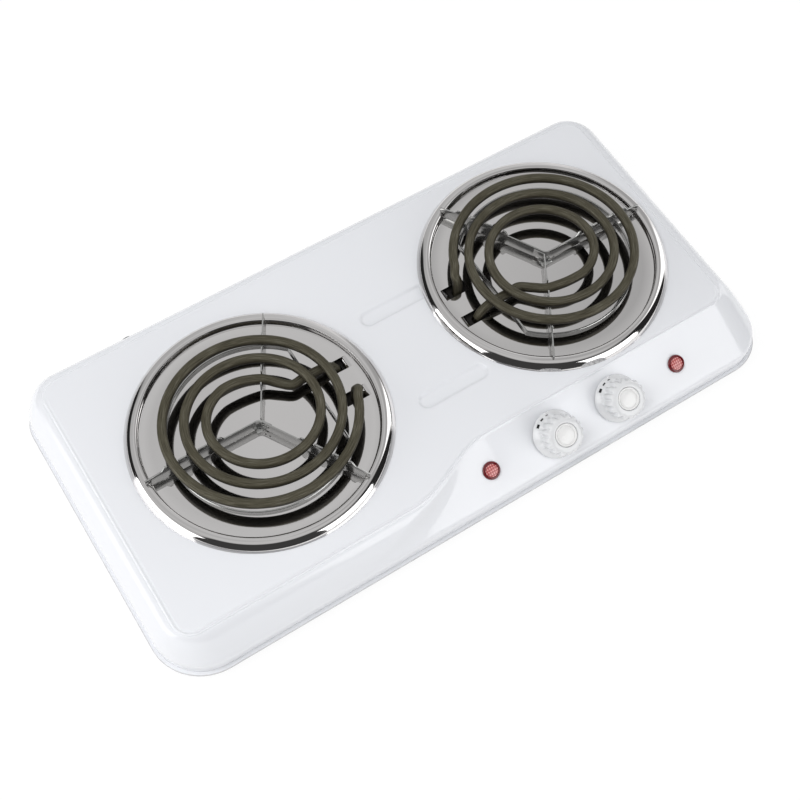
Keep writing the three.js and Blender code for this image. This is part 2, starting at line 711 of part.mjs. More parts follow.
const hubPlate = () => cut(rod(hubRadius, floorTop, floorTop + hubSheet, 18),
  rod(hubScrewRadius + seatGap, 0, floorTop + hubSheet + 1, 12));

const hubScrew = () => turned([
  [0, -bracketDrop - hubHeadHeight - seatGap], [hubScrewHead * 0.7, -bracketDrop - hubHeadHeight - seatGap],
  [hubScrewHead, -bracketDrop - hubHeadEdge], [hubScrewHead, -bracketDrop - seatGap],
  [hubScrewRadius, -bracketDrop - seatGap], [hubScrewRadius, floorTop + hubSheet],
  [0, floorTop + hubSheet]], 16);

for (const left of [true, false]) {
  const hand = left ? 'left' : 'right';
  const shift = elementShift[hand];
  const burner = new THREE.Group();
  burner.position.set(left ? leftBurner.x : rightBurner.x, left ? leftBurner.y : rightBurner.y, deckTop);
  burner.rotation.z = left ? 0 : Math.PI;
  const element = new THREE.Group();
  element.position.x = -shift;
  place(burner, `${hand}_drip_bowl`, dripBowl(shift), chrome);
  place(element, `${hand}_coil_element`, coil, sheath);
  legAngles.forEach((angle, i) => place(
    element, `${hand}_support_leg_${i + 1}`, supportLeg(angle, i === 0 ? -legAside : 0, shift), brightStrip));
  place(element, `${hand}_support_ring`, supportRing(), brightStrip);
  place(element, `${hand}_hub_plate`, hubPlate(), brightStrip);
  place(element, `${hand}_hub_screw`, hubScrew(), screwSteel);
  place(element, `${hand}_mounting_bracket`, mountingBracket(), zinc);
  place(element, `${hand}_terminal_block`, terminalBlock(), ceramic);
  burner.add(element);
  product.add(burner);
}

// Controls, built on the panel's own plane
function thermostat() {
  const top = -panelSheet - seatGap;
  const half = thermostatWidth / 2;
  const body = block(-half, half, -thermostatHeight / 2, thermostatHeight / 2, top - thermostatDepth, top);
  const tab = block(-half - tabLength, half + tabLength, -tabHalfWidth, tabHalfWidth,
    top - thermostatDepth, top - thermostatDepth + thermostatFloor);
  return cut(join(body, tab, rod(bushRadius, top - 1, bushHeight, 20)),
    rod(shaftRadius + seatGap, top - thermostatDepth + thermostatFloor, bushHeight + 1, 16));
}

const shaftFoot = -panelSheet - thermostatDepth + thermostatFloor;
const shaftTop = gripTop - shaftShort;
const thermostatShaft = () => rod(shaftRadius, shaftFoot, shaftTop, 16);

function bushNut() {
  const hexagon = new THREE.Shape(polygon(nutRadius * Math.cos(Math.PI / 6), 6));
  return cut(prism(hexagon, seatGap, seatGap + nutHeight), rod(bushRadius + seatGap, 0, nutHeight + 1, 20));
}

function knob() {
  const ring = (radius, z, fluted) => Array.from({ length: fluteCount * 3 }, (_, i) => {
    const angle = 2 * Math.PI * i / (fluteCount * 3);
    const r = fluted && i % 3 === 0 ? radius - fluteDepth : radius;
    return at(r * Math.cos(angle), r * Math.sin(angle), z);
  });
  const body = loft([
    ring(skirtRadius, knobLift), ring(skirtRadius, knobLift + skirtRim),
    ring(gripRadius - gripWaist, gripBase, true), ring(gripRadius, gripTop - gripShoulder, true),
    ring(gripRadius - gripTaper * 0.3, gripTop - gripRound, true),
    ring(gripRadius - gripTaper, gripTop - gripEdge), ring(gripRadius - gripTaper - gripBevel, gripTop)]);
  const mark = block(-indexHalfWidth, indexHalfWidth, skirtRadius - indexInner, skirtRadius - indexOuter,
    knobLift + skirtRim - indexSink, knobLift + skirtRim + indexRise);
  const nutRoom = Math.max(nutRadius, bushRadius) + skirtRoof;
  return cut(join(body, mark),
    turned([[0, 0], [skirtRadius - skirtWall, 0], [skirtRadius - skirtWall * 1.3, knobLift + skirtRim],
      [nutRoom, gripBase - skirtRoof], [0, gripBase - skirtRoof]], 32),
    rod(shaftRadius + seatGap, 0, shaftTop + seatGap, 16),
    rod(capRadius + seatGap, gripTop - capSheet - seatGap, gripTop + 1, 32));
}

const knobCap = () => turned([
  [0, gripTop - capSheet], [capRadius, gripTop - capSheet], [capRadius, gripTop - capDrop],
  [capRadius - capBevel, gripTop - capCrown], [0, gripTop]], 32);

const pilotLens = () => turned([
  [0, -panelSheet - lensTail], [lensStemRadius, -panelSheet - lensTail], [lensStemRadius, seatGap],
  [lensRadius, seatGap], [lensRadius, seatGap + lensEdge], [lensRadius - lensBevel, lensHeight],
  [0, lensHeight]], 24);

const lampTop = -panelSheet - lensTail - seatGap;
const pilotLamp = () => turned([
  [0, lampTop - lampLength], [lampRadius - lampNose, lampTop - lampLength],
  [lampRadius, lampTop - lampLength + lampNoseLength], [lampRadius, lampTop], [0, lampTop]], 16);

const controls = ['left', 'left', 'right', 'right'];
controlX.forEach((x, i) => {
  const hand = controls[i];
  const spot = new THREE.Group();
  spot.position.set(x, controlY, controlZ);
  spot.rotation.x = panelTilt;
  if (isLamp(i)) {
    place(spot, `${hand}_pilot_lens`, pilotLens(), lensRed);
    place(spot, `${hand}_pilot_lamp`, pilotLamp(), lampAmber);
  } else {
    place(spot, `${hand}_thermostat`, thermostat(), phenolic);
    place(spot, `${hand}_thermostat_shaft`, thermostatShaft(), screwSteel);
    place(spot, `${hand}_bush_nut`, bushNut(), screwSteel);
    place(spot, `${hand}_knob`, knob(), knobWhite);
    place(spot, `${hand}_knob_cap`, knobCap(), capWhite);
  }
  product.add(spot);
});

// Supply and internal leads
const glandFlange = glandNeck + glandLedge;
const glandInner = -wall - seatGap;
const gland = turned([
  [glandBore, glandOut], [glandRadius - glandBevel, glandOut], [glandRadius, glandOut - glandBevel],
  [glandRadius, lipOut + seatGap], [glandFlange, lipOut + seatGap], [glandFlange, seatGap],
  [glandNeck, seatGap], [glandNeck, glandInner], [glandFlange, glandInner],
  [glandFlange, glandInner - glandTail], [glandBore, glandInner - glandTail]], 20);
const glandMesh = place(product, 'cord_gland', gland, rubber);
glandMesh.position.set(glandX, edge, glandHeight);
glandMesh.rotation.x = -Math.PI / 2;

const mains = new THREE.Vector2(glandX + mainsAside, edge - mainsInset);
const wells = [-mainsPitch, 0, mainsPitch].flatMap((x) => [wellAside, -wellAside].map(
  (y) => rod(wellRadius, mainsHeight - wellDepth, mainsHeight + 1, 12).translate(x, y, 0)));
const mainsBody = cut(
  block(-mainsLength / 2, mainsLength / 2, -mainsWidth / 2, mainsWidth / 2, 0, mainsHeight), ...wells);
place(product, 'mains_terminal_block', mainsBody, ceramic).position.set(mains.x, mains.y, plateTop);

const earthScrew = turned([
  [0, 0], [4, 0], [4, 2], [2, 2], [2, 5], [3.6, 5], [3.6, 6.4], [2.4, 7.4], [0, 7.4]], 14);
place(product, 'earth_screw', earthScrew, screwSteel).position.set(mains.x + earthAside, mains.y, plateTop);

const lie = plateTop + leadRadius + 3 * seatGap;      // leads lying on the base plate
const aloft = lie + leadLift;                         // leads passing over those
const rear = -panelSheet - thermostatDepth - 2 * seatGap;
const lampRear = lampTop - lampLength - seatGap;
const [lampLeft, dialLeft, dialRight, lampRight] = controlX;
const onPanel = (x, up, out) => at(0, up, out).applyMatrix4(panelPlace(x));

function lead(name, points, material) {
  place(product, name, sweep(route(points, leadBend), polygon(leadRadius, 6)), material);
}

function fromMains(aside, lane) {
  const x = mains.x + aside;
  const face = mains.y - mainsWidth / 2 - seatGap;
  const height = plateTop + entryHeight;
  return [at(x, face, height), at(x, face - leadStub, height), at(x, lane, lie)];
}

function toThermostat(x, aside, height) {
  const spot = onPanel(x + aside, tagUp, rear);
  const below = onPanel(x + aside, tagUp, rear - leadStub);
  return [at(spot.x, controlY + riseAhead, height), below, spot];
}

function toBlock(burner, way, x, height) {
  const faceY = burner.y + way * (blockWidth / 2 + seatGap);
  const entry = deckTop - blockEntry;
  return [at(burner.x + x, faceY + way * blockApproach, height),
    at(burner.x + x, faceY + way * blockStub, entry), at(burner.x + x, faceY, entry)];
}

const leftTerminal = terminalX - elementShift.left;
const rightTerminal = elementShift.right - terminalX;
lead('live_lead_left', [
  ...fromMains(-outerWay, laneSouth - laneStepSouth),
  ...toThermostat(dialLeft, tagAside, lie)], insulation.live);
lead('live_lead_right', [
  ...fromMains(-innerWay, laneSouth), at(dialRight - laneLead, laneSouth, lie),
  ...toThermostat(dialRight, tagAside, lie)], insulation.live);
lead('switched_lead_left', [
  ...toThermostat(dialLeft, -tagAside, aloft).reverse(),
  ...toBlock(leftBurner, -1, leftTerminal, aloft)], insulation.live);
lead('switched_lead_right', [
  ...toThermostat(dialRight, -tagAside, aloft).reverse(),
  ...toBlock(rightBurner, -1, rightTerminal, aloft)], insulation.live);
lead('neutral_lead_left', [
  ...fromMains(innerWay, laneNorth), ...toBlock(leftBurner, 1, leftTerminal, lie)], insulation.neutral);
lead('neutral_lead_right', [
  ...fromMains(outerWay, laneNorth + laneStepNorth),
  at(rightBurner.x + rightTerminal - laneLead, laneNorth + laneStepNorth, lie),
  ...toBlock(rightBurner, 1, rightTerminal, lie)], insulation.neutral);
const lampPairs = [['left', lampLeft, dialLeft, 1], ['right', lampRight, dialRight, -1]];
for (const [hand, lamp, dial, way] of lampPairs) {
  lead(`pilot_lead_${hand}`, [
    onPanel(lamp, 0, lampRear), onPanel(lamp, 0, lampRear - lampStub),
    onPanel(dial - lampTagAside * way, 0, rear - lampStub),
    onPanel(dial - lampTagAside * way, 0, rear)], insulation.lamp);
}

// The whole product
product.updateMatrixWorld(true);
const reach = new THREE.Box3().setFromObject(product);
product.position.y = -(reach.min.y + reach.max.y) / 2;

export default product;
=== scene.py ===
import json
import math
import bmesh
import bpy
from mathutils import Matrix, Vector


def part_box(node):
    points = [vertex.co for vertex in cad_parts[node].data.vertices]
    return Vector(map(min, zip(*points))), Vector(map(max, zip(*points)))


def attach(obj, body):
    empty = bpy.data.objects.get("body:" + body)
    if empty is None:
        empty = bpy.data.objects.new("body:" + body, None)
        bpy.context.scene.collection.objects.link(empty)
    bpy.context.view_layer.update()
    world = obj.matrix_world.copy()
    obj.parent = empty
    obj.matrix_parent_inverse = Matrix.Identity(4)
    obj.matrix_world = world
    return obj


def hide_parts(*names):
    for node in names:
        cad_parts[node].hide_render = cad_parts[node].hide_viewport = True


# Double hot plate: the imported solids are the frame, and the shapes that show are modelled again here.
# Sizes in the dictionaries are millimetres, and mm turns them into Blender's metres.
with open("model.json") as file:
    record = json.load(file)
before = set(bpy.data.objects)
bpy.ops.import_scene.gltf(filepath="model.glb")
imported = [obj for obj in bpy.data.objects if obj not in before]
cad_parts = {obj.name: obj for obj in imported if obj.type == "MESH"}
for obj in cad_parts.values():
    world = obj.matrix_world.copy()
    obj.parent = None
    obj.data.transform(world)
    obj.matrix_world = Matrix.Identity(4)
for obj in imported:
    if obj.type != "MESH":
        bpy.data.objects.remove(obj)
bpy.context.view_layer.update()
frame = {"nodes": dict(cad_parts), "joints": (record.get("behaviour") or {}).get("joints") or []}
mm = 0.001
turn = 2 * math.pi
close = 1e-6                    # mm or m: nearer than this, two points are one
hands = ("left", "right")


def clearSelection():
    if bpy.context.object and bpy.context.object.mode != "OBJECT":
        bpy.ops.object.mode_set(mode="OBJECT")
    bpy.ops.object.select_all(action="DESELECT")


def pick(piece):
    clearSelection()
    piece.select_set(True)
    bpy.context.view_layer.objects.active = piece


def loft(name, rings, startCap=True, endCap=True, uvLength=None):
    # a disc laid on the first ring, then extruded and laid on each of the others
    count = len(rings[0])
    clearSelection()
    bpy.ops.mesh.primitive_circle_add(vertices=count, fill_type="NGON")
    piece = bpy.context.object
    piece.name = piece.data.name = name
    for vertex, place in zip(piece.data.vertices, rings[0]):
        vertex.co = Vector(place) * mm
    slots = list(range(count))
    bpy.ops.object.mode_set(mode="EDIT")
    bpy.ops.mesh.select_all(action="SELECT")
    for ring in rings[1:]:
        bpy.ops.mesh.extrude_region()
        shape = bmesh.from_edit_mesh(piece.data)
        shape.verts.ensure_lookup_table()
        first = len(slots)
        fresh = {}
        for index in range(first, first + count):
            vertex = shape.verts[index]
            linked = [line.other_vert(vertex).index for line in vertex.link_edges]
            fresh[index] = slots[next(other for other in linked if other < first)]
            vertex.co = Vector(ring[fresh[index]]) * mm
        slots += [fresh[index] for index in range(first, first + count)]
    bpy.ops.object.mode_set(mode="OBJECT")
    dropCaps(piece, count, startCap, endCap)
    if uvLength:
        layUv(piece, slots, count, uvLength)
    return piece


def dropCaps(piece, count, startCap, endCap):
    shape = bmesh.new()
    shape.from_mesh(piece.data)
    last = len(shape.verts) - count
    gone = []
    for face in shape.faces:
        places = [vertex.index for vertex in face.verts]
        if max(places) < count and not startCap or min(places) >= last and not endCap:
            gone.append(face)
    bmesh.ops.delete(shape, geom=gone, context="FACES_ONLY")
    bmesh.ops.recalc_face_normals(shape, faces=shape.faces)
    shape.to_mesh(piece.data)
    shape.free()


def layUv(piece, slots, count, lengths):
    # along the piece by its lengths, and once round it
    layer = piece.data.uv_layers.new(name="along")
    for face in piece.data.polygons:
        around = [slots[v] for v in face.vertices]
        wraps = max(around) - min(around) > count / 2
        for loop, vertex, k in zip(face.loop_indices, face.vertices, around):
            u = lengths[vertex // count]
            layer.data[loop].uv = (u, (k + count if wraps and k < count / 2 else k) / count)


def modifier(piece, kind, **settings):
    pick(piece)
    added = piece.modifiers.new(kind.lower(), kind)
    for key, value in settings.items():
        setattr(added, key, value)
    bpy.ops.object.modifier_apply(modifier=added.name)
    return piece


def cutBy(piece, cutter):
    modifier(piece, "BOOLEAN", operation="DIFFERENCE", solver="EXACT", object=cutter)
    bpy.data.objects.remove(cutter)


def joinAll(first, *others):
    pick(first)
    for other in others:
        other.select_set(True)
    bpy.ops.object.join()
    return first


def smoothShade(piece, degrees):
    pick(piece)
    bpy.ops.object.shade_smooth_by_angle(angle=math.radians(degrees))
    return piece


def faceOutward(piece):
    pick(piece)
    bpy.ops.object.mode_set(mode="EDIT")
    bpy.ops.mesh.select_all(action="SELECT")
    bpy.ops.mesh.normals_make_consistent(inside=False)
    bpy.ops.object.mode_set(mode="OBJECT")
    return piece


def faceUp(piece):
    # turned over if its largest face looks down
    if max(piece.data.polygons, key=lambda face: face.area).normal.z < 0:
        piece.data.flip_normals()


def placed(piece, matrix):
    pick(piece)
    piece.matrix_world = matrix @ piece.matrix_world
    bpy.ops.object.transform_apply(location=True, rotation=True, scale=True)
    return piece


def copied(piece, name, matrix):
    pick(piece)
    bpy.ops.object.duplicate()
    twin = bpy.context.object
    twin.name = twin.data.name = name
    return placed(twin, matrix)


def finished(piece, material, body, slot, *nodes):
    piece.data.materials.clear()
    piece.data.materials.append(material)
    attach(piece, body)
    if nodes:
        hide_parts(*nodes)


def circle(radius, z, count, centre=(0, 0)):
    angles = [turn * i / count for i in range(count)]
    return [(centre[0] + radius * math.cos(a), centre[1] + radius * math.sin(a), z) for a in angles]


def turned(name, profile, count, centre=(0, 0)):
    return loft(name, [circle(r, z, count, centre) for r, z in profile])


def plug(name, radius, reach, count=32):
    return turned(name, [(radius, -reach), (radius, reach)], count)


def box(name, low, high, bevel=0):
    clearSelection()
    bpy.ops.mesh.primitive_cube_add(size=1)
    piece = bpy.context.object
    piece.name = name
    for vertex in piece.data.vertices:
        vertex.co = Vector([(low if value < 0 else high)[i] * mm for i, value in enumerate(vertex.co)])
    if bevel:
        modifier(piece, "BEVEL", width=bevel * mm, segments=2)
    return piece


def newMaterial(name, color, roughness, metallic=0.0, **sockets):
    material = bpy.data.materials.new(name)
    material.use_nodes = True
    shader = material.node_tree.nodes["Principled BSDF"]
    shader.inputs["Base Color"].default_value = (*color, 1)
    shader.inputs["Roughness"].default_value = roughness
    shader.inputs["Metallic"].default_value = metallic
    for key, value in sockets.items():
        shader.inputs[key.replace("_", " ")].default_value = value
    return material


def surfacePlace(tree, uv=None):
    # the piece's own coordinates, or the map of that name
    if uv:
        source = tree.nodes.new("ShaderNodeUVMap")
        source.uv_map = uv
        return source.outputs["UV"]
    return tree.nodes.new("ShaderNodeTexCoord").outputs["Object"]


def addNoise(material, scale, stretch=(1, 1, 1), detail=4, uv=None):
    tree = material.node_tree
    mapping = tree.nodes.new("ShaderNodeMapping")
    mapping.inputs["Scale"].default_value = stretch
    texture = tree.nodes.new("ShaderNodeTexNoise")
    texture.inputs["Scale"].default_value = scale
    texture.inputs["Detail"].default_value = detail
    tree.links.new(surfacePlace(tree, uv), mapping.inputs["Vector"])
    tree.links.new(mapping.outputs["Vector"], texture.inputs["Vector"])
    return texture.outputs["Fac"]


def feed(tree, value, socket):
    # another node's socket is linked, a fixed value is set
    if isinstance(value, bpy.types.NodeSocket):
        tree.links.new(value, socket)
    else:
        socket.default_value = value


def colorRamp(tree, fac, stops):
    ramp = tree.nodes.new("ShaderNodeValToRGB")
    points = ramp.color_ramp.elements
    points[0].position, points[-1].position = stops[0][0], stops[-1][0]
    points[0].color, points[-1].color = (*stops[0][1], 1), (*stops[-1][1], 1)
    for position, color in stops[1:-1]:
        points.new(position).color = (*color, 1)
    tree.links.new(fac, ramp.inputs["Fac"])
    return ramp.outputs["Color"]


def mixColors(tree, first, second, factor=1, blend="MIX"):
    mix = tree.nodes.new("ShaderNodeMix")
    mix.data_type, mix.blend_type = "RGBA", blend
    feed(tree, factor, mix.inputs["Factor"])
    feed(tree, first, mix.inputs[6])
    feed(tree, second, mix.inputs[7])
    return mix.outputs[2]


def mathNode(tree, operation, *inputs):
    node = tree.nodes.new("ShaderNodeMath")
    node.operation = operation
    for socket, value in zip(node.inputs, inputs):
        feed(tree, value, socket)
    return node.outputs[0]


def addColors(material, fac, stops):
    tree = material.node_tree
    tree.links.new(colorRamp(tree, fac, stops), tree.nodes["Principled BSDF"].inputs["Base Color"])


def mapRange(tree, value, fromRange, toRange=(0, 1), shape="LINEAR"):
    node = tree.nodes.new("ShaderNodeMapRange")
    node.interpolation_type = shape
    for name, number in zip(("From Min", "From Max", "To Min", "To Max"), (*fromRange, *toRange)):
        node.inputs[name].default_value = number
    tree.links.new(value, node.inputs["Value"])
    return node.outputs["Result"]


def addRoughness(material, fac, low, high):
    tree = material.node_tree
    value = mapRange(tree, fac, (0.3, 0.7), (low, high))      # most of a noise lies in that range
    tree.links.new(value, tree.nodes["Principled BSDF"].inputs["Roughness"])


def addBump(material, fac, distance, strength=1.0):
    nodes, links = material.node_tree.nodes, material.node_tree.links
    bump = nodes.new("ShaderNodeBump")
    bump.inputs["Distance"].default_value = distance * mm
    bump.inputs["Strength"].default_value = strength
    links.new(fac, bump.inputs["Height"])
    links.new(bump.outputs["Normal"], nodes["Principled BSDF"].inputs["Normal"])


def glossEnamel():
    material = newMaterial("glossEnamel", (0.825, 0.838, 0.872), 0.16, Coat_Weight=0.5, Coat_Roughness=0.05)
    addRoughness(material, addNoise(material, 60), 0.14, 0.2)
    addBump(material, addNoise(material, 220, detail=2), 0.012)
    return material


def mirrorChrome():
    material = newMaterial("mirrorChrome", (0.78, 0.765, 0.76), 0.04, 1.0)
    addRoughness(material, addNoise(material, 40, detail=6), 0.03, 0.07)
    return material


def oxidisedAndShadedSheath():
    # the tube's own map runs along it and once round it: its top is at 0.25 and its underside at 0.75, and
    # the colour round the tube paints light on the top and shade below
    material = newMaterial("oxidisedAndShadedSheath", (0.08, 0.075, 0.052), 0.45, 0.45)
    tree = material.node_tree
    streaks = addNoise(material, 1, (34, 60, 1), 10, "along")
    patches = addNoise(material, 1, (9, 3, 1), 3, "along")
    parts = tree.nodes.new("ShaderNodeSeparateXYZ")
    tree.links.new(surfacePlace(tree, "along"), parts.inputs[0])
    grain = colorRamp(tree, streaks, [
        (0.3, (0.036, 0.032, 0.02)), (0.48, (0.084, 0.076, 0.05)),
        (0.6, (0.125, 0.117, 0.083)), (0.72, (0.23, 0.22, 0.175))])
    burnt = colorRamp(tree, patches, [(0.35, (0.8, 0.78, 0.74)), (0.65, (1.1, 1.1, 1.12))])
    # painted light and shade round the tube: a lighter top with a white painted highlight, and darker painted
    # shade on the flanks and underside
    lit, shadedFlank, under = (0.95, 0.95, 0.95), (0.4, 0.37, 0.33), (0.14, 0.13, 0.12)
    around = colorRamp(tree, parts.outputs["Y"], [
        (0, shadedFlank), (0.1, lit), (0.25, (1, 1, 1)), (0.4, lit),
        (0.52, (0.34, 0.31, 0.28)), (0.62, under), (0.88, under), (1, shadedFlank)])
    scorched = mixColors(tree, grain, burnt, blend="MULTIPLY")
    color = mixColors(tree, scorched, around, blend="MULTIPLY")
    tree.links.new(color, tree.nodes["Principled BSDF"].inputs["Base Color"])
    addRoughness(material, streaks, 0.42, 0.58)
    addBump(material, streaks, 0.08, 0.6)
    return material


def brightStrip():
    material = newMaterial("brightStrip", (0.52, 0.52, 0.51), 0.17, 0.88)
    addRoughness(material, addNoise(material, 260, (1, 1, 0.1), 5), 0.14, 0.2)
    return material


def mouldedWhite(name, color, roughness):
    material = newMaterial(name, color, roughness, Coat_Weight=0.6, Coat_Roughness=0.05)
    addBump(material, addNoise(material, 400, detail=2), 0.01)
    addRoughness(material, addNoise(material, 90), roughness * 0.85, roughness * 1.2)
    return material


def clearRed(name, color, roughness):
    material = newMaterial(name, color, roughness, Coat_Weight=0.6, Coat_Roughness=0.03)
    addRoughness(material, addNoise(material, 300), roughness * 0.8, roughness * 1.3)
    return material


def griddedRed():
    material = clearRed("lensMiddle", (0.5, 0.12, 0.12), 0.25)
    tree = material.node_tree
    place = surfacePlace(tree)
    waves = []
    for direction in ("X", "Y"):
        wave = tree.nodes.new("ShaderNodeTexWave")
        wave.bands_direction = direction
        wave.inputs["Scale"].default_value = 190
        tree.links.new(place, wave.inputs["Vector"])
        waves.append(wave.outputs["Fac"])
    grid = mathNode(tree, "MULTIPLY", *waves)
    addColors(material, grid, [(0.05, (0.42, 0.08, 0.08)), (0.6, (0.8, 0.36, 0.34))])
    addBump(material, grid, 0.15)
    return material


def plainFinish(name, low, high, scale, roughness, metallic=0.0):
    material = newMaterial(name, low, roughness, metallic)
    grain = addNoise(material, scale, detail=5)
    addColors(material, grain, [(0.35, low), (0.65, high)])
    addRoughness(material, grain, roughness * 0.85, roughness * 1.15)
    addBump(material, grain, 0.02)
    return material


enamel = glossEnamel()
chrome = mirrorChrome()
sheath = oxidisedAndShadedSheath()
strip = brightStrip()
knobWhite = mouldedWhite("knobWhite", (0.74, 0.748, 0.762), 0.15)
capWhite = mouldedWhite("capWhite", (0.83, 0.828, 0.825), 0.24)
lensEdge = clearRed("lensEdge", (0.13, 0.004, 0.008), 0.12)
lensMiddle = griddedRed()
markBlack = plainFinish("markBlack", (0.01, 0.01, 0.012), (0.02, 0.02, 0.022), 400, 0.4)
rubber = plainFinish("rubber", (0.012, 0.012, 0.013), (0.028, 0.028, 0.03), 300, 0.75)
zinc = plainFinish("zincSheet", (0.5, 0.51, 0.53), (0.64, 0.65, 0.67), 90, 0.4, 0.9)
screwSteel = plainFinish("screwSteel", (0.42, 0.43, 0.44), (0.56, 0.57, 0.58), 500, 0.34, 0.95)
# grey for the lip's edge: painted shade for the thin dark outline round the body, on enamel
edgePaintedShade = plainFinish("edgePaintedShade", (0.58, 0.58, 0.59), (0.68, 0.68, 0.69), 250, 0.45)
# near black on the terminal blocks: painted shade for the dark inside the body seen through the bowls' slots;
# the ceramic itself is cream
ceramic = plainFinish("ceramic", (0.012, 0.011, 0.01), (0.022, 0.02, 0.018), 180, 0.7)
phenolic = plainFinish("phenolic", (0.018, 0.016, 0.014), (0.035, 0.03, 0.026), 240, 0.5)
lampHolder = plainFinish("lampHolder", (0.6, 0.52, 0.36), (0.7, 0.62, 0.46), 200, 0.5)
brownSleeve = plainFinish("brownSleeve", (0.1, 0.045, 0.02), (0.15, 0.07, 0.035), 600, 0.55)
blueSleeve = plainFinish("blueSleeve", (0.02, 0.09, 0.35), (0.035, 0.13, 0.45), 600, 0.55)
greySleeve = plainFinish("greySleeve", (0.28, 0.28, 0.27), (0.36, 0.36, 0.35), 600, 0.55)
print("materials ready")


def centreOf(node):
    low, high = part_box(node)
    return (low + high) / 2 / mm


housingLow, housingHigh = (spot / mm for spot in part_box("top_housing"))
bowlSpot = {hand: centreOf(f"{hand}_drip_bowl") for hand in hands}
deckZ = housingHigh.z
dials = {joint["child"].split("_")[0]: joint for joint in frame["joints"]}
panelTilt = math.atan2(dials["left"]["axis"][1], -dials["left"]["axis"][2])
knobSpot = {hand: Vector(joint["pos_m"]) / mm for hand, joint in dials.items()}
lensSpot = {hand: Vector((centreOf(f"{hand}_pilot_lens").x, *knobSpot["left"].yz)) for hand in hands}
elementShift = {"left": 0, "right": 2}      # the right element sits this far off the middle of its bowl
terminalX, terminalY = 66.6, 13             # where the tube's ends go down, from the middle of the bowl
screwHole = 2.3                             # radius of the hole for the hub's screw


def burnerMatrix(hand, shift=0.0):
    middle = Vector((bowlSpot[hand].x, bowlSpot[hand].y, deckZ)) * mm
    spun = Matrix.Rotation(0 if hand == "left" else math.pi, 4, "Z")
    return Matrix.Translation(middle) @ spun @ Matrix.Translation((-shift * mm, 0, 0))


def panelMatrix(spot):
    return Matrix.Translation(spot * mm) @ Matrix.Rotation(panelTilt, 4, "X")


housing = {
    "lip": 2.4, "sheet": 1.2, "skin": 0.5, "rimHeight": 12.5, "skirtDrop": 24.5,
    # the bend from the skirt into the upright band: its height, its share below that, its steps
    "bandBend": 1.9, "bandFoot": 1.2, "bandSteps": 4,
    "skirtLeft": 15, "skirtRight": 18.5, "skirtFront": 15.5, "skirtBack": 15.5, "panelDepth": 36.3,
    "deckCornerLeft": 13, "deckCornerRight": 12,
    "rimCornerFrontLeft": 35, "rimCornerBackLeft": 27, "rimCornerRight": 30,
    # how far out of the deck's edge, how deep in the groove along it, and how far down the shoulder
    "crease": [(-6, 0, 0), (-3.2, 0, 0), (-2.7, 0.06, 0), (-2.25, 0.3, 0), (-1.9, 0.65, 0), (-1.55, 0.95, 0),
               (-1.2, 1, 0), (-0.85, 0.8, 0), (-0.5, 0.45, 0), (-0.2, 0.15, 0.01), (0.1, 0, 0.06),
               (0.38, 0, 0.2), (0.62, 0, 0.42), (0.82, 0, 0.68), (1, 0, 0.95)],
    "grooveFront": 0.62, "grooveBack": 0.08, "grooveRun": 90, "grooveEnd": 16,
    # how far out of the upright band and how far above the lip: the hem's groove, then the lip
    "hem": [(0, 2.1), (-0.06, 1.8), (-0.4, 1.45), (-0.55, 0.8), (-0.45, 0.2), (-0.1, 0),
            (1.7, 0), (1.9, -0.08), (1.95, -0.3), (1.95, -1.1)],
    # the lip's outer edge round the sheet, in the same measures; its grey is painted shade for the dark
    # outline along the body's foot
    "trim": [(1.9, -0.04), (2.25, -0.04), (2.4, -0.2), (2.4, -1.05), (2.25, -1.2), (1.9, -1.2), (1.9, -0.04)],
    # how fast the skirt spreads as it falls, and the S-shaped bend where the panel starts
    "spread": 0.45, "frontSpread": 0.66, "levels": 14,
    "bendStart": 60.9, "bendLength": 71, "bendLean": 60, "bendSpread": 60,
    "cornerSteps": 16, "bendSteps": 36, "smooth": 40,
}
emboss = {
    "length": 55, "width": 13.2, "depth": 1.7, "behind": 30.3, "ahead": 46, "shift": 8.8, "steps": 14,
    # how far out of the recess's edge, and how far down as a share of the depth
    "profile": [(3, 0), (0.6, 0), (0.1, 0.05), (-0.5, 0.22), (-1.1, 0.5), (-1.7, 0.78), (-2.3, 0.94),
                (-2.9, 1), (-4.6, 1)],
}
openings = {
    "blockLong": 11.3, "blockWide": 21, "deckReach": 3, "screwSteps": 24,
    "lens": 4.9, "bush": 4.8, "panelReach": 6, "gland": 4.2, "glandReach": 5,
}
side = housingHigh.x - housing["lip"]
middleY = (housingLow.y + housingHigh.y) / 2
edge = (housingHigh.y - housingLow.y) / 2 - housing["lip"]


def corner(x, y, radius, start):
    steps = housing["cornerSteps"]
    return [(x + radius * math.cos(math.radians(start + 90 * i / steps)),
             y + radius * math.sin(math.radians(start + 90 * i / steps))) for i in range(steps + 1)]


